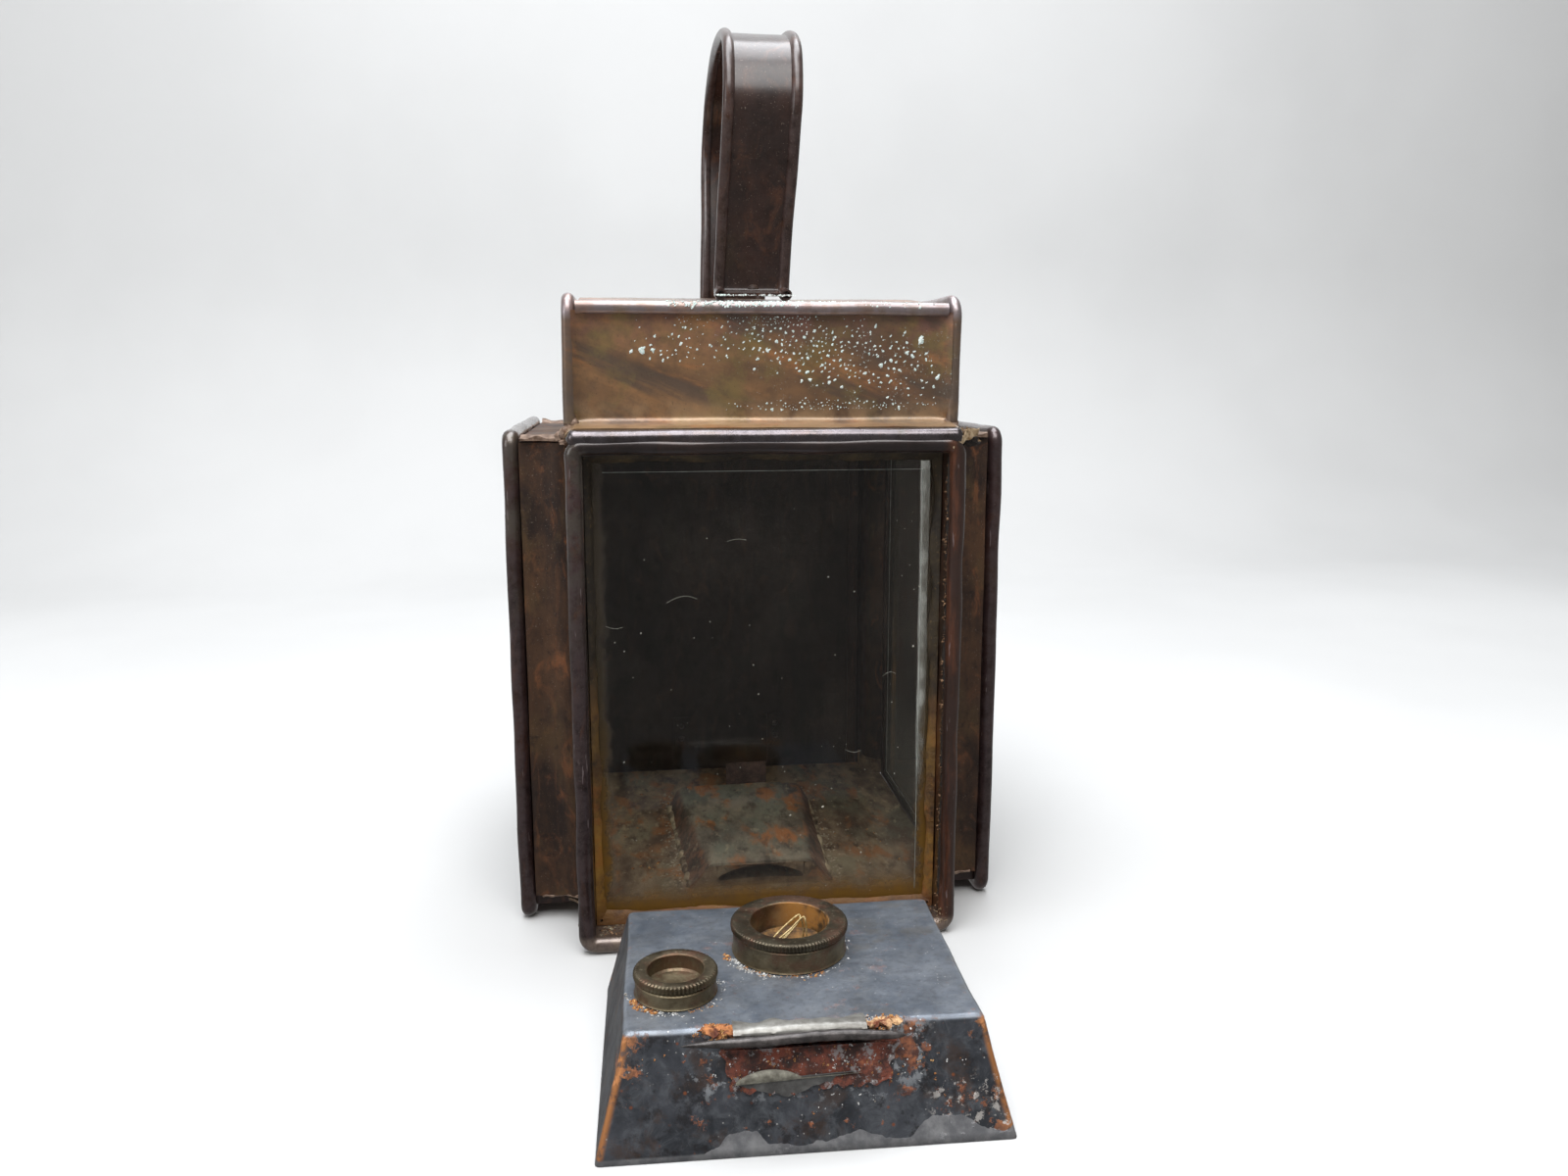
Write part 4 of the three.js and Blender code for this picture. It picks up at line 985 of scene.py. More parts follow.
def cove(name, seed):
    """Hollow corner sheet: straight from the front, then a fillet to the side frame."""
    node = "cove_" + name
    sx, sy = CORNERS[name]
    low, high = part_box(node)
    wall, end_x = min(abs(low.x), abs(high.x)) + SHEET / 2, max(abs(low.x), abs(high.x))
    ys = sorted((abs(low.y - AXIS_Y), abs(high.y - AXIS_Y)))
    flat, end_y = ys[0] + SHEET / 2, ys[1]
    path = finer(rounded([(wall, end_y), (wall, flat), (end_x, flat)], 13.5 * MM, 14), 3 * MM)
    outline = [(a * sx, b * sy + AXIS_Y) for a, b in ribbon(path, SHEET)]

    def scoop(y):
        hollow = math.sin(math.pi * up_to_one((end_y - abs(y - AXIS_Y)) / (end_y - flat)))
        return 4.5 * MM * (0.35 + 0.65 * hollow)

    def move(v):
        foot = max(0.0, 1 - (v.z - low.z) / (10 * MM))
        ragged = 1.2 * MM * noise.noise(Vector((v.x, v.y, seed)) * 260)
        return v + wavy(v, 24, seed) * 0.5 * MM + Vector((0, 0, foot * (scoop(v.y) + ragged)))

    mesh = bar(outline[::sx * sy], "z", spread(low.z, high.z, 4 * MM))
    piece(node + "_sheet", reshaped(mesh, move), COVE_COPPER, BODY, "aged_copper", [node])
    rim = [(a * sx, b * sy + AXIS_Y) for a, b in path[::2]]
    mesh = tube([Vector((a, b, low.z + scoop(b))) for a, b in rim], 0.75 * MM, 8, 3)
    piece(node + "_rim", shaken(mesh, 0.5 * MM, 260, seed), TAN_SOLDER, BODY, "aged_copper", angle=60)


def floor_curb(name):
    """Upturned edge of the floor along a cove."""
    sx, sy = CORNERS[name]
    path = rounded([(67.6 * MM, 79 * MM), (67.6 * MM, 61.6 * MM), (75 * MM, 61.6 * MM)], 11 * MM, 10)
    outline = [(a * sx, b * sy + AXIS_Y) for a, b in ribbon(finer(path, 3 * MM), 0.6 * MM)]
    mesh = bar(outline[::sx * sy], "z", spread(floor_top + 0.1 * MM, floor_top + 7 * MM, 2 * MM))
    piece("floor_curb_" + name, mesh, FLOOR_TIN, BODY, "rusty_tin")


def roof_seam(name, index):
    """Lumpy solder along the top edge of a cove, where the roof plate is run on."""
    sx, sy = CORNERS[name]
    roof_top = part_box("roof_plate")[1].z
    section = ((0.8, -0.6), (0.9, 0.5), (-0.6, 1.1), (-2.6, 1.5), (-4.8, 1.2), (-6.6, 0.4), (-6.8, -0.4))
    path = finer(rounded([(71 * MM, 91 * MM), (71 * MM, 66 * MM), (87 * MM, 66 * MM)], 12 * MM, 12), 1.6 * MM)
    rings = []
    for (a, b), n in zip(path, mitres(path, False)):
        ring = []
        for across, lift in section:
            x, y = a + n.x * across * MM, b + n.y * across * MM
            rough = 1.5 * grain(x * 190, y * 190, index * 9.0)
            height = (lift + (rough if lift > 0 else 0.0)) * MM
            ring.append(Vector((x * sx, y * sy + AXIS_Y, roof_top + max(-0.6 * MM, height))))
        rings.append(ring)
    mesh = flipped(rings_to_mesh(rings), sx * sy < 0)
    piece("roof_seam_" + name, mesh, TAN_SOLDER, BODY, "aged_copper", angle=60)


for index, name in enumerate(CORNERS):
    cove(name, 11.0 + index)
    floor_curb(name)
    roof_seam(name, index)


# --------------------------------------------------------------------------------------- hood

HOOD_ROLL = 2.3 * MM


def hood_end(side, seed):
    """Front or rear sheet: rolled top, face filleted into the corner rolls, skirt over the frame."""
    node = "hood_" + side
    low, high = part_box(node)
    face = -1 if side == "front" else 1
    half = roof_high.x
    sheet_y = AXIS_Y + face * (roof_high.y - AXIS_Y + 0.3 * MM + SHEET / 2)
    top, ledge = high.z - HOOD_ROLL, low.z + 1.3 * MM
    skirt = [(sheet_y + face * 8 * MM, ledge + 1.3 * MM), (sheet_y + face * 11.2 * MM, ledge + 0.6 * MM)]
    profile = rounded([(sheet_y, top - 1 * MM), (sheet_y, ledge + 2.4 * MM)] + skirt, 2.6 * MM, 8)
    ledge_path = rounded([(sheet_y + face * 1.2 * MM, ledge + 2.0 * MM)] + skirt, 2.6 * MM, 8)
    parts = []
    for outline, stations, roll in (
        (ribbon(finer(profile, 1.5 * MM), SHEET), spread(-half - 1.6 * MM, half + 1.6 * MM, 1.6 * MM), 0.0),
        (circle(HOOD_ROLL, 20, sheet_y + face * 1.6 * MM, top), spread(-half, half, 3 * MM), 1.0),
        (ribbon(finer(ledge_path, 1.5 * MM), 0.8 * SHEET), spread(low.x, high.x, 1.2 * MM), 0.3),
    ):
        outward = outline if polygon_area(outline) > 0 else outline[::-1]
        parts.append(marked(bar(outward, "x", stations), roll=roll))
    verts, faces, marks = combine(*parts)
    moved = []
    for v, roll in zip(verts, marks["roll"]):
        dent = grain(v.x * 22, seed, v.z * 30) * 0.7 * MM
        corner = max(0.0, (abs(v.x) - half + 4.5 * MM) / (6 * MM)) ** 2
        above = up_to_one((v.z - ledge - 2 * MM) / (4 * MM))
        fillet = face * 2.4 * MM * corner * above if roll == 0.0 else 0.0
        droop = -2.2 * MM * max(0.0, (abs(v.x) - high.x + 3.5 * MM) / (3.5 * MM)) ** 2 * (1 - above)
        moved.append(v + wavy(v, 50, seed) * 0.3 * MM + Vector((0, dent + fillet, droop)))
    piece(node + "_sheet", (moved, faces, marks), HOOD_COPPER, BODY, "hood_copper", [node])
    rings = []
    stations = spread(low.x + 0.5 * MM, high.x - 0.5 * MM, 1.5 * MM)
    for x in stations:
        near_end = min(x - stations[0], stations[-1] - x) / (2.2 * MM)
        radius = 3.1 * MM * math.sqrt(max(0.04, 1 - max(0.0, 1 - near_end) ** 2))
        radius *= 1 + 0.06 * grain(x * 60, seed, 1)
        sag = 0.35 * MM * grain(x * 25, seed, 4)
        ring = circle(radius, 24, sheet_y + face * 11.2 * MM, ledge - 2.3 * MM)
        rings.append([Vector((x, a, b + sag)) for a, b in ring])
    mesh = rings_to_mesh(rings)
    piece(node + "_bead", marked(mesh, roll=[1.0] * len(mesh[0])), BEAD_COPPER, BODY, "hood_copper", angle=60)


def hood_side(side, seed):
    """Side sheet under an arched roll, with a flange along its foot."""
    node = "hood_" + side
    low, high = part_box(node)
    out = -1 if side == "left" else 1
    roll_x = out * (roof_high.x + 0.3 * MM + HOOD_ROLL)
    sheet_x = roll_x + out * 1 * MM
    roll_low, top = low.z + 6.1 * MM, high.z - HOOD_ROLL
    front, back = low.y + HOOD_ROLL, high.y - HOOD_ROLL
    arch = rounded([(front, roll_low), (front, top), (back, top), (back, roll_low)], 5.5 * MM, 8)
    swell = lambda i, p: 1 + 0.14 * noise.noise(Vector((p[0], p[1], seed)) * 70)
    roll = sweep(circle(HOOD_ROLL, 20, 0, roll_x), finer(arch, 2.5 * MM), "x", swell=swell)
    rows = spread(low.z, top, 4 * MM)
    outline = [(sheet_x + SHEET / 2, z) for z in rows] + [(sheet_x - SHEET / 2, z) for z in rows[::-1]]
    stations = spread(roof_low.y, roof_high.y, 4 * MM)
    sheet = rings_to_mesh([[Vector((x, y, z)) for x, z in outline] for y in stations])
    near, far = sorted((sheet_x - out * SHEET / 2, low.x if out < 0 else high.x))
    foot = [(far, low.z), (far, low.z + SHEET), (near, low.z + SHEET), (near, low.z)]
    stations = spread(AXIS_Y - 61 * MM, AXIS_Y + 61 * MM, 5 * MM)
    flange = rings_to_mesh([[Vector((x, y, z)) for x, z in foot] for y in stations])

    def move(v):
        dent = grain(seed, v.y * 20, v.z * 28) * 0.6 * MM
        return v + wavy(v, 50, seed) * 0.25 * MM + Vector((dent, 0, 0))

    mesh = combine(marked(roll, roll=1.0), flipped(sheet), flipped(flange))
    piece(node + "_sheet", reshaped(mesh, move), HOOD_COPPER, BODY, "hood_copper", [node])


def hood_roof():
    """Crowned sheet closing the hood."""
    reach, rise = roof_high.y - AXIS_Y, roof_high.z - roof_low.z - SHEET
    path = [(AXIS_Y + y, roof_low.z + SHEET / 2 + rise * (1 - (y / reach) ** 2))
            for y in spread(-reach, reach, 4 * MM)]
    mesh = bar(ribbon(path, SHEET), "x", spread(roof_low.x, roof_high.x, 4 * MM))
    mesh = reshaped(mesh, lambda v: v + Vector((0, 0, 0.3 * MM * noise.noise(v * 30))))
    piece("hood_roof_sheet", mesh, HOOD_COPPER, BODY, "hood_copper", ["hood_roof"])


hood_end("front", 21.0)
hood_end("rear", 22.0)
hood_side("left", 23.0)
hood_side("right", 24.0)
hood_roof()


# ------------------------------------------------------------------------------------- handle

strap_low, strap_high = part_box("handle_strap")
STRAP_HALF, STRAP_ROLL, STRAP_LEAN = 12.4 * MM, 2.2 * MM, 0.04


def strap_edge(path, side):
    """Rolled edge of the strap, open and hollow for 4 mm at both feet."""
    ring = circle(STRAP_ROLL, 16, 0, side * STRAP_HALF)
    swell = lambda i, p: 1 + 0.08 * noise.noise(Vector((p[0], p[1], side)) * 80)
    verts, faces = sweep(ring, path, "x", swell=swell, caps=False)
    count = len(ring)
    for end, inward in ((0, 1), (len(path) - 1, -1)):
        rim = verts[end * count:(end + 1) * count]
        centre = sum(rim, Vector()) / count
        step = (Vector((0, *path[end + inward])) - Vector((0, *path[end]))).normalized()
        mouth = [centre + (v - centre) * 0.62 for v in rim]
        start = len(verts)
        verts.extend(mouth + [v + step * 4 * MM for v in mouth])
        for first, second in ((end * count, start), (start, start + count)):
            for j in range(count):
                k = (j + 1) % count
                faces.append((first + j, first + k, second + k, second + j)[::-inward])
        faces.append(tuple(range(start + count, start + 2 * count))[::-inward])
    return verts, faces, {"roll": 1.0}


def strap():
    """Pear-shaped loop of sheet with a rolled edge on each side."""
    foot, crest = strap_low.z + STRAP_ROLL, strap_high.z - STRAP_ROLL
    reach = strap_high.y - AXIS_Y - STRAP_ROLL
    neck = reach - 16.2 * MM
    half = [
        (neck + 9 * MM, foot - 1.4 * MM), (neck + 2 * MM, foot - 0.6 * MM),
        (neck - 0.5 * MM, foot + 4.5 * MM), (neck + 5.5 * MM, foot + 32 * MM),
        (reach - 1.7 * MM, crest - 43 * MM), (reach - 0.2 * MM, crest - 28 * MM),
        (reach - 9.2 * MM, crest - 12 * MM), (reach - 30.2 * MM, crest - 3 * MM),
    ]
    far = [Vector((y, z)) for y, z in reversed(half)]
    knots = [Vector((-y, z)) for y, z in half] + [Vector((0, crest))] + far
    path = [(p.x + AXIS_Y, p.y) for p in spline(knots, 7)]
    flat = [(b, a) for a, b in ribbon([(-STRAP_HALF, 0), (STRAP_HALF, 0)], 1.1 * MM)]
    web = finer(flat[::-1], 2.5 * MM, True)
    mesh = combine(marked(sweep(web, path, "x"), roll=0.25), strap_edge(path, -1), strap_edge(path, 1))
    lean = lambda v: Vector((STRAP_LEAN * (v.z - foot), 0, 0))
    mesh = reshaped(mesh, lambda v: v + lean(v) + wavy(v, 40, 31.0) * 0.3 * MM)
    piece("strap_sheet", mesh, STRAP_COPPER, BODY, "aged_copper", ["handle_strap"])


strap()


# --------------------------------------------------------------------------------------- tank

TANK_HIGH = (shell_high.z - shell_low.z) / MM
TANK_BASE, TANK_TOP = (117.0, 96.7), (100.5, 75.8)
CHANNEL_HALF, CHANNEL_HIGH = 35.3, 24.5
SHELL_STEPS = {4: 40, 9: 30, 14: 6, 15: 28, 16: 6, 21: 30}  # long stretches of the outline
SHELL_SIDES = 156
CHANNEL_FIRST, CHANNEL_LAST, CHANNEL_BANDS = 88, 116, 11


def tank_point(x, y, z):
    """A place in the tank's own axes, millimetres from its middle, in the frame."""
    c, s = math.cos(TANK_TURN), math.sin(TANK_TURN)
    return Vector((tank_middle.x + (x * c - y * s) * MM, tank_middle.y + (x * s + y * c) * MM, z * MM))


def tank_half(z):
    part = z / TANK_HIGH
    return [(b + (t - b) * part) / 2 for b, t in zip(TANK_BASE, TANK_TOP)]


def tank_outline(hx, hy):
    """Rounded rectangle with two points of the rear side held at the edges of the channel."""
    arcs = rounded(rectangle(-hx, hx, -hy, hy), 1.3, 4, True)
    side = min(CHANNEL_HALF, 0.7 * hx)
    path = arcs[:15] + [(side, hy), (-side, hy)] + arcs[15:]
    out = []
    for i, point in enumerate(path):
        after = Vector(path[(i + 1) % len(path)])
        steps = SHELL_STEPS.get(i, 1)
        out.extend(tuple(Vector(point).lerp(after, k / steps)) for k in range(steps))
    return out


def tank_shell():
    """Tapered shell with a rounded brim, open below, notched at the rear for the air duct."""
    edge = 1.4
    levels = [(z, 0.0) for z in (*np.linspace(0, CHANNEL_HIGH, CHANNEL_BANDS + 1),
                                 *np.linspace(CHANNEL_HIGH, TANK_HIGH - edge, 5)[1:])]
    for k in range(1, 6):
        turn = math.pi / 2 * k / 5
        levels.append((TANK_HIGH - edge + edge * math.sin(turn), edge * (1 - math.cos(turn))))
    levels += [(TANK_HIGH, levels[-1][1] + step) for step in (1.2, 3, 6, 10, 15, 20, 25, 30)]
    rings, edges = [], []
    for z, inset in levels:
        hx, hy = (half - inset for half in tank_half(min(z, TANK_HIGH)))
        outline = tank_outline(hx, hy)
        rings.append([tank_point(x, y, z) for x, y in outline])
        for x, y in outline:
            to_corner = math.hypot(max(0, hx - abs(x)), max(0, hy - abs(y)))
            near = max(0.0, 1 - to_corner / 7) if inset < 3 else 0.0
            brim = max(0.0, 1 - abs(z - TANK_HIGH + 1) / 2.5) if inset < 2 else 0.0
            edges.append(max(near, brim * 0.55))
    verts, faces = rings_to_mesh(rings, caps=False)
    faces = [face for n, face in enumerate(faces)
             if n // SHELL_SIDES >= CHANNEL_BANDS or not CHANNEL_FIRST <= n % SHELL_SIDES < CHANNEL_LAST]
    faces.append(tuple(range(len(verts) - SHELL_SIDES, len(verts))))
    moved = []
    for n, v in enumerate(verts):
        dent = wavy(v, 38, 41.0) * 0.9 * MM + wavy(v, 110, 42.0) * 0.25 * MM
        keep = min(1.0, v.z / (3 * MM))
        if n // SHELL_SIDES <= CHANNEL_BANDS + 1 and CHANNEL_FIRST - 2 <= n % SHELL_SIDES <= CHANNEL_LAST + 2:
            keep = 0.0
        sink = min(0.0, dent.z) if v.z > 30 * MM else dent.z
        moved.append(v + Vector((dent.x * keep * 0.6, dent.y * keep * 0.6, sink * keep * 0.5)))
    mesh = moved, faces, {"edge": edges}
    obj = piece("tank_shell_sheet", mesh, TIN, TANK, "tinned_steel", ["tank_shell"])
    skin = obj.modifiers.new("skin", "SOLIDIFY")
    skin.thickness = SHEET
    skin.offset = -1
    thick = bpy.data.meshes.new_from_object(obj.evaluated_get(bpy.context.evaluated_depsgraph_get()))
    obj.modifiers.clear()
    obj.data = thick


tank_shell()


# ------------------------------------------------------------------------ turned brass parts

ring_place = Vector(((ring_low.x + ring_high.x) / 2, (ring_low.y + ring_high.y) / 2, 0))
cap_place = Vector(((cap_low.x + cap_high.x) / 2, (cap_low.y + cap_high.y) / 2, 0))
neck_low, neck_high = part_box("burner_neck")
spout_low, spout_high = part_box("filler_neck")
neck_radius = (neck_high.x - neck_low.x) / 2 / MM
spout_radius = (spout_high.x - spout_low.x) / 2 / MM


def turned(node, body, profile, centre, teeth=0, depth=0.0, bores=()):
    """Turned part: closed profile of (radius, height, knurled) in millimetres round a vertical axis."""
    rings, bore = [], []
    count = teeth * 4 or 96
    for i in range(count):
        turn = 2 * math.pi * i / count
        bite = depth * (0.5 - 0.5 * math.cos(turn * teeth))
        ring = []
        for r, z, knurled in profile:
            radius = (r - (bite if knurled else 0.0)) * MM
            x, y = radius * math.cos(turn), radius * math.sin(turn)
            ring.append(Vector((centre.x + x, centre.y + y, z * MM)))
        rings.append(ring)
        bore.extend(1.0 if k in bores else 0.0 for k in range(len(profile)))
    mesh = flipped(rings_to_mesh(rings, closed=True), polygon_area([(r, z) for r, z, _ in profile]) > 0)
    piece(node + "_turned", marked(mesh, bore=bore), BRASS, body, "old_brass", [node], angle=40)


def neck_profile(outer, inner, low, high):
    edge = 0.35
    return [(outer + edge, low, 0), (outer + 0.1, low + 0.3, 0), (outer, low + 0.7, 0),
            (outer, high - edge, 0), (outer - edge, high, 0), (inner, high, 0), (inner, low, 0)]


def flange_profile(outer, hole, spigot, low, high, foot, ending):
    """Knurled flange over a spigot; the ending closes the hole or leaves it open."""
    return [
        (spigot, low, 0), (outer - 0.8, low, 0), (outer - 0.15, low + 0.25, 1), (outer, low + 0.55, 1),
        (outer, high - 0.75, 1), (outer - 0.2, high - 0.3, 1), (outer - 0.9, high, 0), (outer - 1.8, high, 0),
        (hole + 0.7, high - 0.02, 0), (hole + 0.1, high - 0.35, 0), (hole, high - 1.0, 0),
        *ending, (spigot, foot, 0),
    ]


FOOT = 33.4
turned("burner_neck", TANK,
       neck_profile(neck_radius, 13.6, neck_low.z / MM, neck_high.z / MM), ring_place)
turned("filler_neck", TANK,
       neck_profile(spout_radius, 9.7, spout_low.z / MM, spout_high.z / MM), cap_place)
turned("burner_ring", "burner_collar",
       flange_profile(18.3, 12.1, 13.2, 39.6, 42.0, FOOT, [(12.1, FOOT, 0)]),
       ring_place, teeth=104, depth=0.5, bores=(9, 10, 11))
turned("filler_cap", "filler_stopper",
       flange_profile(12.35, 8.25, 9.3, 37.3, 39.7, FOOT,
                      [(8.25, 35.2, 0), (7.65, 34.6, 0), (0.02, 34.6, 0), (0.02, FOOT, 0)]),
       cap_place, teeth=62, depth=0.6, bores=(9,))


# --------------------------------------------------------------------------- finger pull


def front_y(z):
    return -tank_half(z)[1]


def rust_plate(u, v):
    """Plate over the front, ragged at its ends and foot, folded out over the brim."""
    x, z = -24.0 + 49 * u, 28.8 - 12.2 * (1 - v)
    x += (3.6 if u < 0.5 else -1.6) * (1 - v) * abs(2 * u - 1) ** 2
    ragged = grain(x * 0.35, z * 0.35, 51.0)
    if u < 0.06 or u > 0.94:
        x += ragged * 2.4
    if v < 0.1:
        z += ragged * 2.2
    lump = 0.5 * grain(x * 0.5, z * 0.5, 7) + 0.3 * grain(x * 1.4, z * 1.4, 9)
    shelf = 3.0 * max(0.0, (z - 27.4) / 1.4) ** 1.5
    return tank_point(x, front_y(z) - 1.1 - 0.45 * lump - shelf, z)


def tongue(u, v):
    """Bare grey tongue of tin below the lower lip, its foot running to a blunt point."""
    x = -18.5 + 31 * u
    deep = 5.2 * (1 - abs(u - 0.42) / 0.6) + 0.8 * grain(x * 0.4, 1, 8)
    z = 19.6 + 1.0 * u - max(0.4, deep) * (1 - v)
    return tank_point(x, front_y(z) - 1.9 + 0.8 * (1 - v) - 0.2 * grain(x * 0.6, z * 0.6, 2), z)


def top_lip(u, v):
    """Worn lip bent over the brim of the tank, its back edge wavy and its front edge rounded."""
    x = -20.5 + 37 * u
    back = -36.4 + 2.6 * grain(x * 0.16, 3, 1) - 0.8 * math.sin(u * math.pi)
    crown = 0.9 * math.sin((1 - v) * math.pi) * (0.5 + 0.5 * math.sin(u * math.pi))
    bumps = 0.35 * grain(x * 0.12, (1 - v) * 1.5, 5)
    round_over = 0.7 * max(0.0, 0.25 - v) ** 2 / 0.0625
    return tank_point(x, back + (-42.6 - back) * (1 - v), 33.45 + crown + bumps - round_over)


def lower_lip(u, v):
    """Lip turned out of the plate: a half-moon on the left that thins to a line on the right."""
    moon = math.sin(min(1.0, u / 0.52) * math.pi) ** 0.7 if u < 0.52 else 0.0
    z = 19.2 + 1.1 * u + (0.55 * (1 - u) + 2.7 * moon) * v
    out = 0.8 + 0.5 * (1 - u) + 0.7 * moon * math.sin((1 - v) * math.pi)
    return tank_point(-20.0 + 35 * u, front_y(z) - 1.2 - out, z)


def pull_bar():
    """Rod across the brim, drawn out to a point on the left and blunt on the right."""
    rings = []
    for t in np.linspace(-1, 1, 60):
        size = (1 - abs(t) ** (2.2 if t < 0 else 6.0)) ** 0.6 * 1.4 + 0.08
        x, y, z = t * 31 - 3.7, -43.9 + 0.25 * math.sin(t * 3.0), 31.9 - 0.8 * t ** 2 + 0.2 * math.sin(t * 5)
        ring = []
        for a, b in circle(size, 14):
            grow = 1 + 0.16 * grain(x * 0.5, a, b)
            ring.append(tank_point(x, y + a * grow, z + b * grow))
        rings.append(ring)
    piece("pull_bar_rod", rings_to_mesh(rings), STEEL, TANK, "tinned_steel", ["pull_bar"], angle=60)


pull_bar()
for name, shape, across, up, thickness, material, slot, node in (
    ("pull_plate_rust", rust_plate, 60, 22, 0.6, RUST, "rusty_tin", ["pull_plate"]),
    ("pull_tongue", tongue, 40, 12, 0.4, TONGUE_TIN, "rusty_tin", ()),
    ("pull_lip_worn", top_lip, 60, 20, 0.5, BRIGHT_TIN, "tinned_steel", ["pull_lip"]),
    ("pull_tab_lip", lower_lip, 60, 14, 0.5, GREY_TIN, "rusty_tin", ["pull_tab"]),
):
    piece(name, surface(across, up, shape, thickness * MM), material, TANK, slot, node, angle=50)


# -------------------------------------------------------------- wire, scale and crusts of the tank


def wire():
    """Stiff bent wire lying in the burner collar."""
    base = Vector((ring_place.x, ring_place.y, 0))
    loops = [
        [(5.2, -3.0, 35), (5.0, -3.6, 39), (4.6, -3.8, 43.0), (3.6, -3.4, 44.0), (-1.0, -5.2, 40.6),
         (-8.0, -7.4, 36.4), (-8.8, -6.4, 35.5), (-3.5, -3.0, 39.6), (2.4, -0.4, 43.2), (3.4, -0.8, 43.0),
         (2.6, -2.0, 41.8), (-1.0, -4.2, 38.8), (-4.2, -5.2, 36.8), (-3.6, -3.6, 36.4), (1.2, -1.4, 39.8)],
        [(3.4, -3.0, 43.8), (4.2, -2.6, 39.5), (3.9, -2.2, 35.4)],
    ]
    parts = [tube([base + Vector(point) * MM for point in loop], 0.3 * MM) for loop in loops]
    piece("bent_wire_loops", combine(*parts), WIRE, TANK, "straw_wire", ["bent_wire"], angle=60)


def neck_bed():
    """Scale caked in the burner neck, the ochre floor that the wire lies on."""
    steps = ((13.5, 31.0), (13.5, 32.6), (11.5, 33.1), (11.2, 34.3), (8, 34.2), (5, 34.0), (2, 33.9),
             (0.5, 33.9))
    rings = [[Vector((ring_place.x + a, ring_place.y + b, z * MM)) for a, b in circle(radius * MM, 48)]
             for radius, z in steps]
    rough = lambda v: v + Vector((0, 0, 0.6 * MM * noise.noise(v * 260))) if v.z > 33.5 * MM else v
    piece("neck_bed_scale", reshaped(rings_to_mesh(rings), rough), BED_SCALE, TANK, "old_brass", angle=50)


def ring_of_crumbs(centre, radius, count, seed, size, arc):
    """Spots on the tank's top round a neck, between two angles in degrees."""
    rng = random.Random(seed)
    spots = []
    for _ in range(count):
        turn = math.radians(rng.uniform(*arc))
        r = radius + abs(rng.gauss(0.0, 1.1))
        x, y = r * MM * math.cos(turn), r * MM * math.sin(turn)
        place = Vector((centre.x + x, centre.y + y, (TANK_HIGH - 0.1) * MM))
        big = rng.uniform(*size) * MM
        spots.append((place, (0, 0, 1), big, big * rng.uniform(0.25, 0.5)))
    return clustered(spots, seed)


def neck_crusts():
    """White and rusty crust where the two necks meet the tank's top."""
    neck, spout = (ring_place, neck_radius), (cap_place, spout_radius)
    # place, distance from the neck, number, seed, sizes and arc of each row
    white = ((neck, 0.6, 60, 1, (0.3, 0.9), (195, 250)), (neck, 0.6, 46, 2, (0.2, 0.6), (250, 380)),
             (spout, 0.6, 60, 3, (0.2, 0.7), (180, 400)))
    rust = ((neck, 1.6, 12, 4, (0.4, 1.0), (184, 197)), (neck, 0.5, 34, 5, (0.3, 0.8), (215, 300)),
            (spout, 0.5, 44, 6, (0.3, 0.9), (195, 245)), (spout, 0.5, 22, 7, (0.3, 0.7), (285, 330)))
    for name, material, last_seed, rows in (
        ("white", WHITE_CRUST, 11, white), ("rust", RUST_CRUST, 12, rust),
    ):
        spots = []
        for (centre, radius), out, count, seed, size, arc in rows:
            spots += ring_of_crumbs(centre, radius + out, count, seed, size, arc)
        crumbs("neck_crust_" + name, spots, material, TANK, "tinned_steel", last_seed)


def pull_crust():
    """Rust and white bloom where the lip is soldered on, and scattered over the brim."""
    rng = random.Random(21)
    white, rusty = [], []
    for _ in range(260):
        left = rng.random() < 0.45
        x = rng.gauss(-23.5, 3.0) if left else rng.gauss(19.5, 3.2)
        y = rng.uniform(-41.5, -36.0)
        z = TANK_HIGH + 0.1 if y > -37.6 else TANK_HIGH + 0.1 - (-37.6 - y) * 0.35
        size = rng.uniform(0.2, 0.75) * MM
        spot = (tank_point(x, y, z), (0, -0.5, 1), size, size * 0.6)
        (white if rng.random() < (0.15 if left else 0.45) else rusty).append(spot)
    for _ in range(260):
        x, z = rng.gauss(0, 24), rng.gauss(21, 4.5)
        if not 9 < z < 30 or abs(x) > 48:
            continue
        size = rng.uniform(0.12, 0.45) * MM
        on_plate = 1.15 if -22 < x < 24 and z > 18 else 0.02
        spot = (tank_point(x, front_y(z) - on_plate, z), (0, -1, 0.3), size, size * 0.5)
        (white if rng.random() < 0.5 else rusty).append(spot)
    for name, middle, high, material in (("left", -24, 0.3, RED_SCAB), ("right", 18.6, 0.5, SCAB)):
        scabs = []
        for _ in range(17):
            x, y, wide = rng.gauss(middle, 3.2), rng.uniform(-41.3, -37.2), rng.uniform(0.7, 2.0)
            scabs.append((tank_point(x, y, TANK_HIGH + 0.1), (wide * MM, 0.9 * wide * MM, high * MM)))
        mesh = shaken(lumps(scabs, 24.0), 0.6 * MM, 600, 25.0)
        piece("pull_scabs_" + name, mesh, material, TANK, "rusty_tin", angle=60)
    crumbs("pull_crust_white", clustered(white, 22), WHITE_CRUST, TANK, "tinned_steel", 13)
    crumbs("pull_crust_rust", clustered(rusty, 23), RUST_CRUST, TANK, "rusty_tin", 14)


wire()
neck_bed()
neck_crusts()
pull_crust()


# -------------------------------------------------------------------------- verdigris on the hood

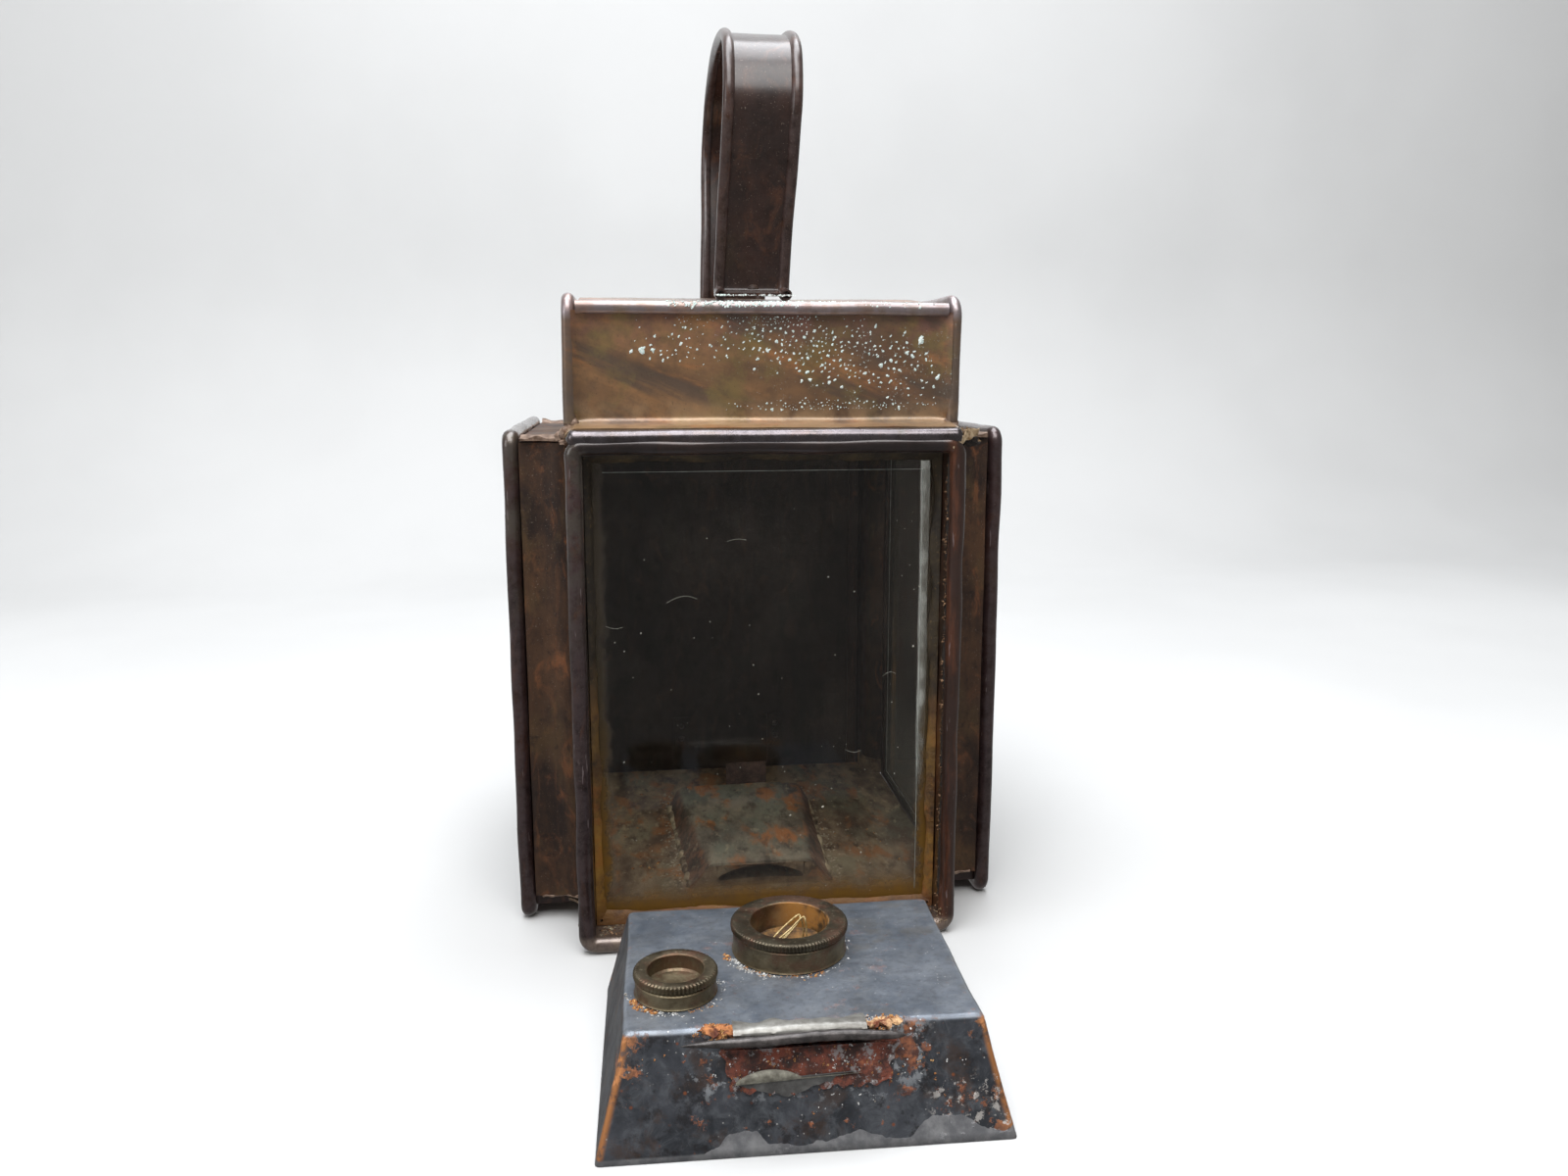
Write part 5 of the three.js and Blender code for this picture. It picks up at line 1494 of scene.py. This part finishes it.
# Further patches, as shares of the width and height: (u, half width, v, half height, weight).
# The third runs the whole height, so its half height is as good as endless.
PATCHES = ((0.46, 0.13, 0.97, 0.09, 1.1), (0.3, 0.09, 0.68, 0.1, 0.45), (0.985, 0.012, 0, 1e9, 0.5),
           (0.68, 0.16, 0.03, 0.05, 0.7))


def verdigris_specks():
    """Pale green-white grains on the front of the hood, thickest at the upper right."""
    rng = random.Random(33)
    face_y = AXIS_Y - (roof_high.y - AXIS_Y + 0.3 * MM + SHEET)
    low_z, top_z = hood_low.z + 8 * MM, hood_high.z - 5.2 * MM
    spots, taken = [], []
    for _ in range(60000):
        if len(spots) == 560:
            break
        u, v = rng.random(), rng.random()
        slope = 0.72 - 0.9 * (u - 0.62)
        dense = math.exp(-(((u - 0.68) / 0.16) ** 2 + ((v - slope) / 0.2) ** 2))
        for at_u, wide, at_v, high, weight in PATCHES:
            dense += weight * math.exp(-(((u - at_u) / wide) ** 2 + ((v - at_v) / high) ** 2))
        if rng.random() > dense * (0.5 + 0.9 * grain(u * 22, v * 9, 3)):
            continue
        x = hood_low.x + 5 * MM + (hood_high.x - hood_low.x - 10 * MM) * u
        z = low_z + (top_z - low_z) * v
        dent = grain(x * 22, 21.0, z * 30) * 0.7 * MM
        size = min(1.8, 0.55 + rng.expovariate(3.0)) * (0.5 if v < 0.15 or v > 0.9 else 1.0) * MM
        if any(math.hypot(x - a, z - b) < 1.1 * (size + c) for a, b, c in taken):
            continue
        taken.append((x, z, size))
        spots.append((Vector((x, face_y + dent, z)), (0, -1, 0), size, size * rng.uniform(0.2, 0.4)))
    for _ in range(420):
        x = rng.gauss(hood_high.x * 0.05, hood_high.x * 0.33)
        if not hood_low.x * 0.5 < x < hood_high.x * 0.9:
            continue
        size = rng.uniform(0.2, 0.8) * MM
        turn = rng.uniform(0.1, 1.3)
        normal = Vector((0, -math.cos(turn), math.sin(turn)))
        top = Vector((x, face_y - 1.1 * MM, hood_high.z - HOOD_ROLL))
        spots.append((top + normal * HOOD_ROLL, normal, size, size * 0.3))
    crumbs("verdigris_crust", clustered(spots, 35, (1, 3), 0.7), VERDIGRIS, BODY, "hood_copper", 34)


def handle_crust():
    """Green and white crust where the strap feet are soldered to the hood."""
    rng = random.Random(111)
    foot_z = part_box("handle_rivet_front")[0].z - 2.4 * MM
    green, white = [], []
    for sy in (-1, 1):
        for _ in range(170):
            x = rng.uniform(-15, 15) * MM
            y = AXIS_Y + sy * rng.gauss(49, 2.2) * MM
            size = rng.uniform(0.2, 0.9) * MM
            drop = 8.4 * MM * (((y - AXIS_Y) / (82.6 * MM)) ** 2 - (49 / 82.6) ** 2)
            spot = (Vector((x, y, foot_z - drop)), (0, -0.3, 1), size, size * 0.6)
            (green if rng.random() < 0.55 else white).append(spot)
    crumbs("foot_crust_green", clustered(green, 112), VERDIGRIS, BODY, "hood_copper", 113)
    crumbs("foot_crust_white", clustered(white, 114), WHITE_CRUST, BODY, "hood_copper", 115)


verdigris_specks()
handle_crust()


# --------------------------------------------------------------------- air duct and floor

duct_low, duct_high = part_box("air_duct")


def air_duct():
    """Raised duct over the air hole: flared flanks, arched mouth in front, tab behind."""
    mouth_half, flare, high = 20 * MM, 8.5 * MM, 18 * MM
    back = duct_high.y - 0.5 * MM
    low = floor_top + 0.3 * MM
    rings, flanks = [], []
    for y in spread(duct_low.y, back, 3 * MM):
        part = (y - duct_low.y) / (back - duct_low.y)
        half = mouth_half + 8 * MM * part
        foot = half + flare - 4 * MM * part
        path = finer(rounded([(-foot, low), (-half, high), (half, high), (foot, low)], 3.5 * MM, 5), 3 * MM)
        ring = []
        for x, z in even(ribbon(path, SHEET), 64):
            rise = (z - low) / (high - low)
            lift = 0.6 * MM * grain(x * 40, y * 40, 5) + 0.8 * MM * (1 - (x / foot) ** 2)
            ring.append(Vector((x, y, z + lift * rise)))
            flanks.append(up_to_one((abs(x) - half) / MM))
        rings.append(ring)
    mesh = marked(flipped(rings_to_mesh(rings)), flank=flanks)
    piece("air_duct_sheet", mesh, DUCT_TIN, BODY, "rusty_tin", ["air_duct"])
    slot_half = 17 * MM
    top = lambda x: min(high, low + (high - low) * max(0.0, mouth_half + flare - abs(x)) / flare)
    middle = lambda x: (15.2 - 2.6 * (x / slot_half) ** 2) * MM
    gap = lambda x: 2.2 * MM * math.sqrt(max(0.0, 1 - (x / slot_half) ** 2))
    parts = []
    for reach, lower, upper in (
        (mouth_half + flare, lambda x: low, lambda x: middle(x) - gap(x) if abs(x) < slot_half else top(x)),
        (slot_half + 0.2 * MM, lambda x: middle(x) + gap(x), lambda x: high + 0.4 * MM),
    ):
        def cheek(u, v):
            x = u * reach
            bulge = 1.2 * MM * (1 - u * u) * v
            return Vector((x, duct_low.y + 0.4 * MM - bulge, lower(x) + (upper(x) - lower(x)) * v))
        parts.append(surface(64, 5, cheek, 0.7 * MM, first=-1))
    piece("air_duct_mouth", combine(*parts), FLOOR_TIN, BODY, "rusty_tin")
    tab = [[Vector((x, back + 0.3 * MM + 0.6 * MM * grain(x * 90, z * 90, 2), z))
            for x in spread(-6 * MM, 12.7 * MM, 2 * MM)] for z in spread(high - 3 * MM, duct_high.z, 2 * MM)]
    piece("air_duct_tab", grid_sheet(tab, 1 * MM), TAB_TIN, BODY, "rusty_tin")
    for name, side in (("left", -1), ("right", 1)):
        start = Vector((side * 27.6 * MM, duct_low.y + 1 * MM, low))
        end = Vector((side * 32 * MM, duct_high.y - 3 * MM, low))
        points = [start.lerp(end, t / 6) for t in range(7)]
        solder_line("duct_solder_" + name, points, 1.7 * MM, DUCT_SOLDER, 61 + side)


def floor_litter():
    """Solder flecks and rust scale on the floor and along the duct."""
    rng = random.Random(71)
    pale, rusty = [], []
    for _ in range(520):
        beside = rng.random() < 0.55
        side = rng.choice((-1, 1))
        y = rng.uniform(duct_low.y - 8 * MM, AXIS_Y + 45 * MM)
        x = side * (31 * MM + abs(rng.gauss(0, 3)) * MM) if beside else rng.uniform(-62, 62) * MM
        if abs(x) < 30 * MM:
            continue
        size = rng.uniform(0.2, 0.9) * MM
        spot = (Vector((x, y, floor_top + 0.05 * MM)), (0, 0, 1), size, size * 0.45)
        (pale if beside or rng.random() < 0.35 else rusty).append(spot)
    crumbs("floor_flecks", clustered(pale, 72), SOLDER, BODY, "rusty_tin", 73)
    crumbs("floor_scale", clustered(rusty, 74), RUST_CRUST, BODY, "rusty_tin", 75)


air_duct()
floor_litter()


# ------------------------------------------------------------------- solder, tears and stops


def corner_blobs():
    """Solder run into the corners where hood, frame and coves meet."""
    ledge = hood_low.z + 1 * MM
    spots = []
    for sx in (-1, 1):
        for sy in (-1, 1):
            # across, front to back, above the ledge; then the three radii
            rows = [(67.5, 85, 2.2, (2.6, 1.8, 2.4)), (71.5, 83, -1.8, (2.4, 2.6, 1.8))]
            if (sx, sy) != (1, -1):
                rows.insert(0, (69.5, 87.5, -0.5, (2.6, 3.4, 2.6)))
            for x, y, z, radii in rows:
                place = Vector((sx * x * MM, AXIS_Y + sy * y * MM, ledge + z * MM))
                spots.append((place, [r * MM for r in radii]))
    piece("corner_solder", lumps(spots, 81.0), TAN_SOLDER, BODY, "hood_copper", angle=60)


def torn_corner():
    """Burst seam at the front right: a curled strip over a dark hole, whose darkness is near-black blobs of
    painted shade, and splinters.
    """
    corner = Vector((69 * MM, front_low.y + 4 * MM, front_high.z + 0.5 * MM))

    def strip(u, v):
        tear = grain(u * 9, 2, 5) * 1.8
        curl = (2.8 + tear) * math.sin(v * 2.2) * math.sin(0.3 + 2.6 * u)
        out = -4.4 + 7.5 * u ** 1.5 + (1.6 + tear) * v
        return corner + Vector((-4 + 12 * u, out, -4.6 + 5.6 * u + curl)) * MM

    mesh = shaken(surface(22, 10, strip, 0.4 * MM), 0.7 * MM, 320, 90.0)
    piece("torn_strip", mesh, TORN_SHEET, BODY, "aged_copper", angle=30)
    mesh = combine(
        shards(corner, (3.0 * MM, 1.5 * MM, 1.6 * MM), 34, 1.9 * MM, (0.3, -0.5, 0.7), 92),
        shards(corner + Vector((4.5, 3, -2)) * MM, (2.6 * MM, 2 * MM, 1.4 * MM), 26, 1.7 * MM,
               (0.4, -0.2, 0.8), 93),
    )
    piece("torn_splinters", mesh, TORN_SHEET, BODY, "aged_copper", angle=20)
    # painted shade: near-black blobs standing for the dark inside of the hole
    hole_shade = [(corner + Vector((-0.5, 1.2, -1.6)) * MM, (4.6 * MM, 2.2 * MM, 2.2 * MM)),
           (corner + Vector((4.2, 4, -2.8)) * MM, (3.4 * MM, 2.6 * MM, 2.0 * MM))]
    piece("torn_hole_shade", lumps(hole_shade, 94.0), PAINTED_SHADE_BLACK, BODY, "dark_copper", angle=60)
    foot = Vector((65.5 * MM, front_low.y + 1.5 * MM, 7.5 * MM))
    mesh = shards(foot, (2.2 * MM, 1 * MM, 3 * MM), 30, 1.8 * MM, (-0.8, -0.8, 0.1), 95)
    piece("torn_foot", mesh, TORN_SHEET, BODY, "aged_copper", angle=20)


def front_crumbs():
    """Crumbs down the open seam of the right post, dark and pale ones along the sill."""
    rng = random.Random(91)
    spots = []
    for _ in range(320):
        z = rng.uniform(8, 182) * MM
        x = (64.1 + 0.7 * grain(z * 90, 1, 1) + rng.gauss(0, 0.3)) * MM
        size = min(0.9, 0.15 + rng.expovariate(5.0)) * MM
        spots.append((Vector((x, front_low.y + 3.4 * MM, z)), (-0.6, -1, 0), size, size * 0.8))
    crumbs("seam_crumbs", clustered(spots, 96), SEAM_CRUST, BODY, "aged_copper", 97)
    dark, pale = [], []
    for _ in range(420):
        x = rng.choice((-1, 1)) * (62.5 - min(30, rng.expovariate(0.14))) * MM
        y = front_low.y + rng.uniform(3.5, 12.5) * MM
        size = min(0.9, 0.2 + rng.expovariate(4.5)) * MM
        spot = (Vector((x, y, front_low.z + 2 * BEAD)), (0, 0, 1), size, size * 0.7)
        (pale if rng.random() < 0.3 else dark).append(spot)
    crumbs("sill_crumbs_dark", clustered(dark, 98), SEAM_CRUST, BODY, "aged_copper", 99)
    crumbs("sill_crumbs_pale", clustered(pale, 100), SOLDER, BODY, "aged_copper", 101)


def ragged_gap():
    """Open seam between the right post and the jamb, seen as an uneven dark line: a near-black strip of
    painted shade.
    """
    rings = []
    for z in spread(9 * MM, 181 * MM, 1.5 * MM):
        wide = (0.6 + 1.1 * abs(grain(z * 300, 3, 1))) * MM
        x = (64.9 + 0.5 * grain(z * 60, 7, 1)) * MM
        y = front_low.y + 2.9 * MM
        section = ((-wide, 0.6), (0, -0.5), (wide, -0.4), (wide, 1), (-wide, 1))
        rings.append([Vector((x + a, y + b * MM, z)) for a, b in section])
    # painted shade: near-black strip for the dark inside of the open seam
    piece("seam_gap_shade", rings_to_mesh(rings), PAINTED_SHADE_BLACK, BODY, "dark_copper", angle=30)


def door_stops():
    """Narrow upright stops that close the slit beside the door."""
    y = AXIS_Y + 86 * MM
    for side, name in ((-1, "left"), (1, "right")):
        inner, outer = sorted((side * 67.4 * MM, side * 69.7 * MM))
        mesh = bar(rectangle(inner, outer, y, y + 1 * MM), "z", spread(1 * MM, 185 * MM, 6 * MM))
        piece("door_stop_" + name, shaken(mesh, 0.1 * MM, 60, 99.0 + side), BLACK_COPPER, BODY, "dark_copper")


def rear_sill():
    """Flat flange under the door's lower edge, closing the slit behind the floor."""
    outline = rectangle(AXIS_Y + 78.5 * MM, AXIS_Y + 90.5 * MM, 3 * MM, 3.8 * MM)
    mesh = bar(outline, "x", spread(-69.6 * MM, 69.6 * MM, 6 * MM))
    piece("rear_sill", mesh, BLACK_COPPER, BODY, "dark_copper")


def pane_dust():
    """Flakes and hair-thin threads lying on the front pane."""
    rng = random.Random(101)
    low, high = glass_low, glass_high
    spots = []
    for _ in range(70):
        x, z = rng.uniform(low.x + 8 * MM, high.x - 8 * MM), rng.uniform(low.z + 8 * MM, high.z - 10 * MM)
        size = min(0.55, 0.08 + rng.expovariate(9.0)) * MM
        spots.append((Vector((x, low.y - 0.02 * MM, z)), (0, -1, 0), size, size * 0.3))
    crumbs("pane_flakes", spots, DUST, BODY, "cement", 102)
    parts = []
    for x, z, long, bend in ((-36, 128, 11, 2.4), (-58, 120, 6, -1.0), (44, 98, 5, 1.6), (-14, 150, 7, 0.8),
                             (30, 70, 6, -1.2)):
        points = [((x + long * t) * MM, low.y - 0.08 * MM, (z + bend * math.sin(t * 2.6)) * MM)
                  for t in (0, 0.33, 0.66, 1)]
        parts.append(tube(points, 0.045 * MM, 6, 4))
    piece("pane_threads", combine(*parts), DUST, BODY, "cement", angle=60)


corner_blobs()
torn_corner()
front_crumbs()
ragged_gap()
door_stops()
rear_sill()
pane_dust()


# ------------------------------------------------------ CAD pieces that keep their own meshes

KEPT = (
    (COVE_COPPER, "roof_plate"),
    (FLOOR_TIN, "floor_plate"),
    (TIN, "tank_base"),
    (BLACK_COPPER, "inner_chimney handle_rivet_front handle_rivet_rear door_panel door_strip_left "
                   "door_strip_right"),
    (COPPER, "hinge_leaf_low hinge_leaf_high latch_keeper door_leaf_low door_leaf_high latch_plate "
             "latch_button"),
    (STEEL, "hinge_pin_low hinge_pin_high door_rivet_left_low door_rivet_left_high door_rivet_right_low "
            "door_rivet_right_high latch_rivet"),
)
for material, names in KEPT:
    for name in names.split():
        slots = nodes[name].data.materials
        slots.clear()
        slots.append(material)


# ------------------------------------------------------------------------ stage and camera


def stage_sheet(name, profile, mirrored, material):
    """Part of the pale surround; only the backdrop is seen in reflections."""
    verts = [(x, y, z - 0.0002) for x in (-3.0, 3.0) for y, z in profile]
    count = len(profile)
    faces = [(count + j, count + j + 1, j + 1, j) for j in range(count - 1)]
    mesh = bpy.data.meshes.new(name)
    mesh.from_pydata(verts, [], faces)
    mesh.polygons.foreach_set("use_smooth", [True] * len(mesh.polygons))
    mesh.materials.append(material)
    obj = bpy.data.objects.new(name, mesh)
    obj.visible_glossy = mirrored
    bpy.context.scene.collection.objects.link(obj)


def stage():
    p = Paint("stage_paper")
    tone = p.mix(p.cloud(3, 3, 0.5, 0.3, 0.7), (0.56, 0.56, 0.555), (0.6, 0.6, 0.595))
    paper = p.finish(tone, 0.9, 0.0, specular=0.2)
    stage_sheet("stage_floor", [(-3.0, 0.0), (0.7, 0.0)], False, paper)
    stage_sheet("stage_backdrop", rounded([(0.7, 0.0), (1.1, 0.0), (1.1, 2.2)], 0.35, 16), True, paper)


def soft_light(name, place, target, size, power, color=(1, 1, 1)):
    light = bpy.data.lights.new(name, "AREA")
    light.shape = "RECTANGLE"
    light.size, light.size_y = size
    light.energy = power
    light.color = color
    obj = bpy.data.objects.new(name, light)
    obj.location = place
    obj.rotation_euler = (Vector(target) - Vector(place)).to_track_quat("-Z", "Y").to_euler()
    bpy.context.scene.collection.objects.link(obj)


stage()
soft_light("ceiling", (-0.05, 0.12, 1.5), (0, 0.05, 0), (1.5, 0.9), 30, (0.93, 0.96, 1.0))
soft_light("front_panel", (-0.1, -0.9, 1.55), (0, 0, 0.08), (1.6, 0.9), 26)
soft_light("left_key", (-1.5, -0.6, 0.8), (0, 0, 0.12), (0.7, 0.9), 6, (0.95, 0.97, 1.0))

world = bpy.data.worlds.new("studio")
world.use_nodes = True
world.node_tree.nodes["Background"].inputs["Color"].default_value = (1.0, 0.98, 0.96, 1)
world.node_tree.nodes["Background"].inputs["Strength"].default_value = 0.22
bpy.context.scene.world = world

camera_data = bpy.data.cameras.new("camera")
camera_data.sensor_width = 36.0
camera_data.lens = 27.6
camera_data.clip_start = 0.01
camera = bpy.data.objects.new("camera", camera_data)
camera.location = (-0.05055, AXIS_Y - 0.51127, 0.21182)
camera.rotation_euler = Euler((math.radians(90 - 10.42), 0, math.radians(-7.63)))
bpy.context.scene.collection.objects.link(camera)
bpy.context.scene.camera = camera
bpy.context.scene.view_settings.view_transform = "Standard"
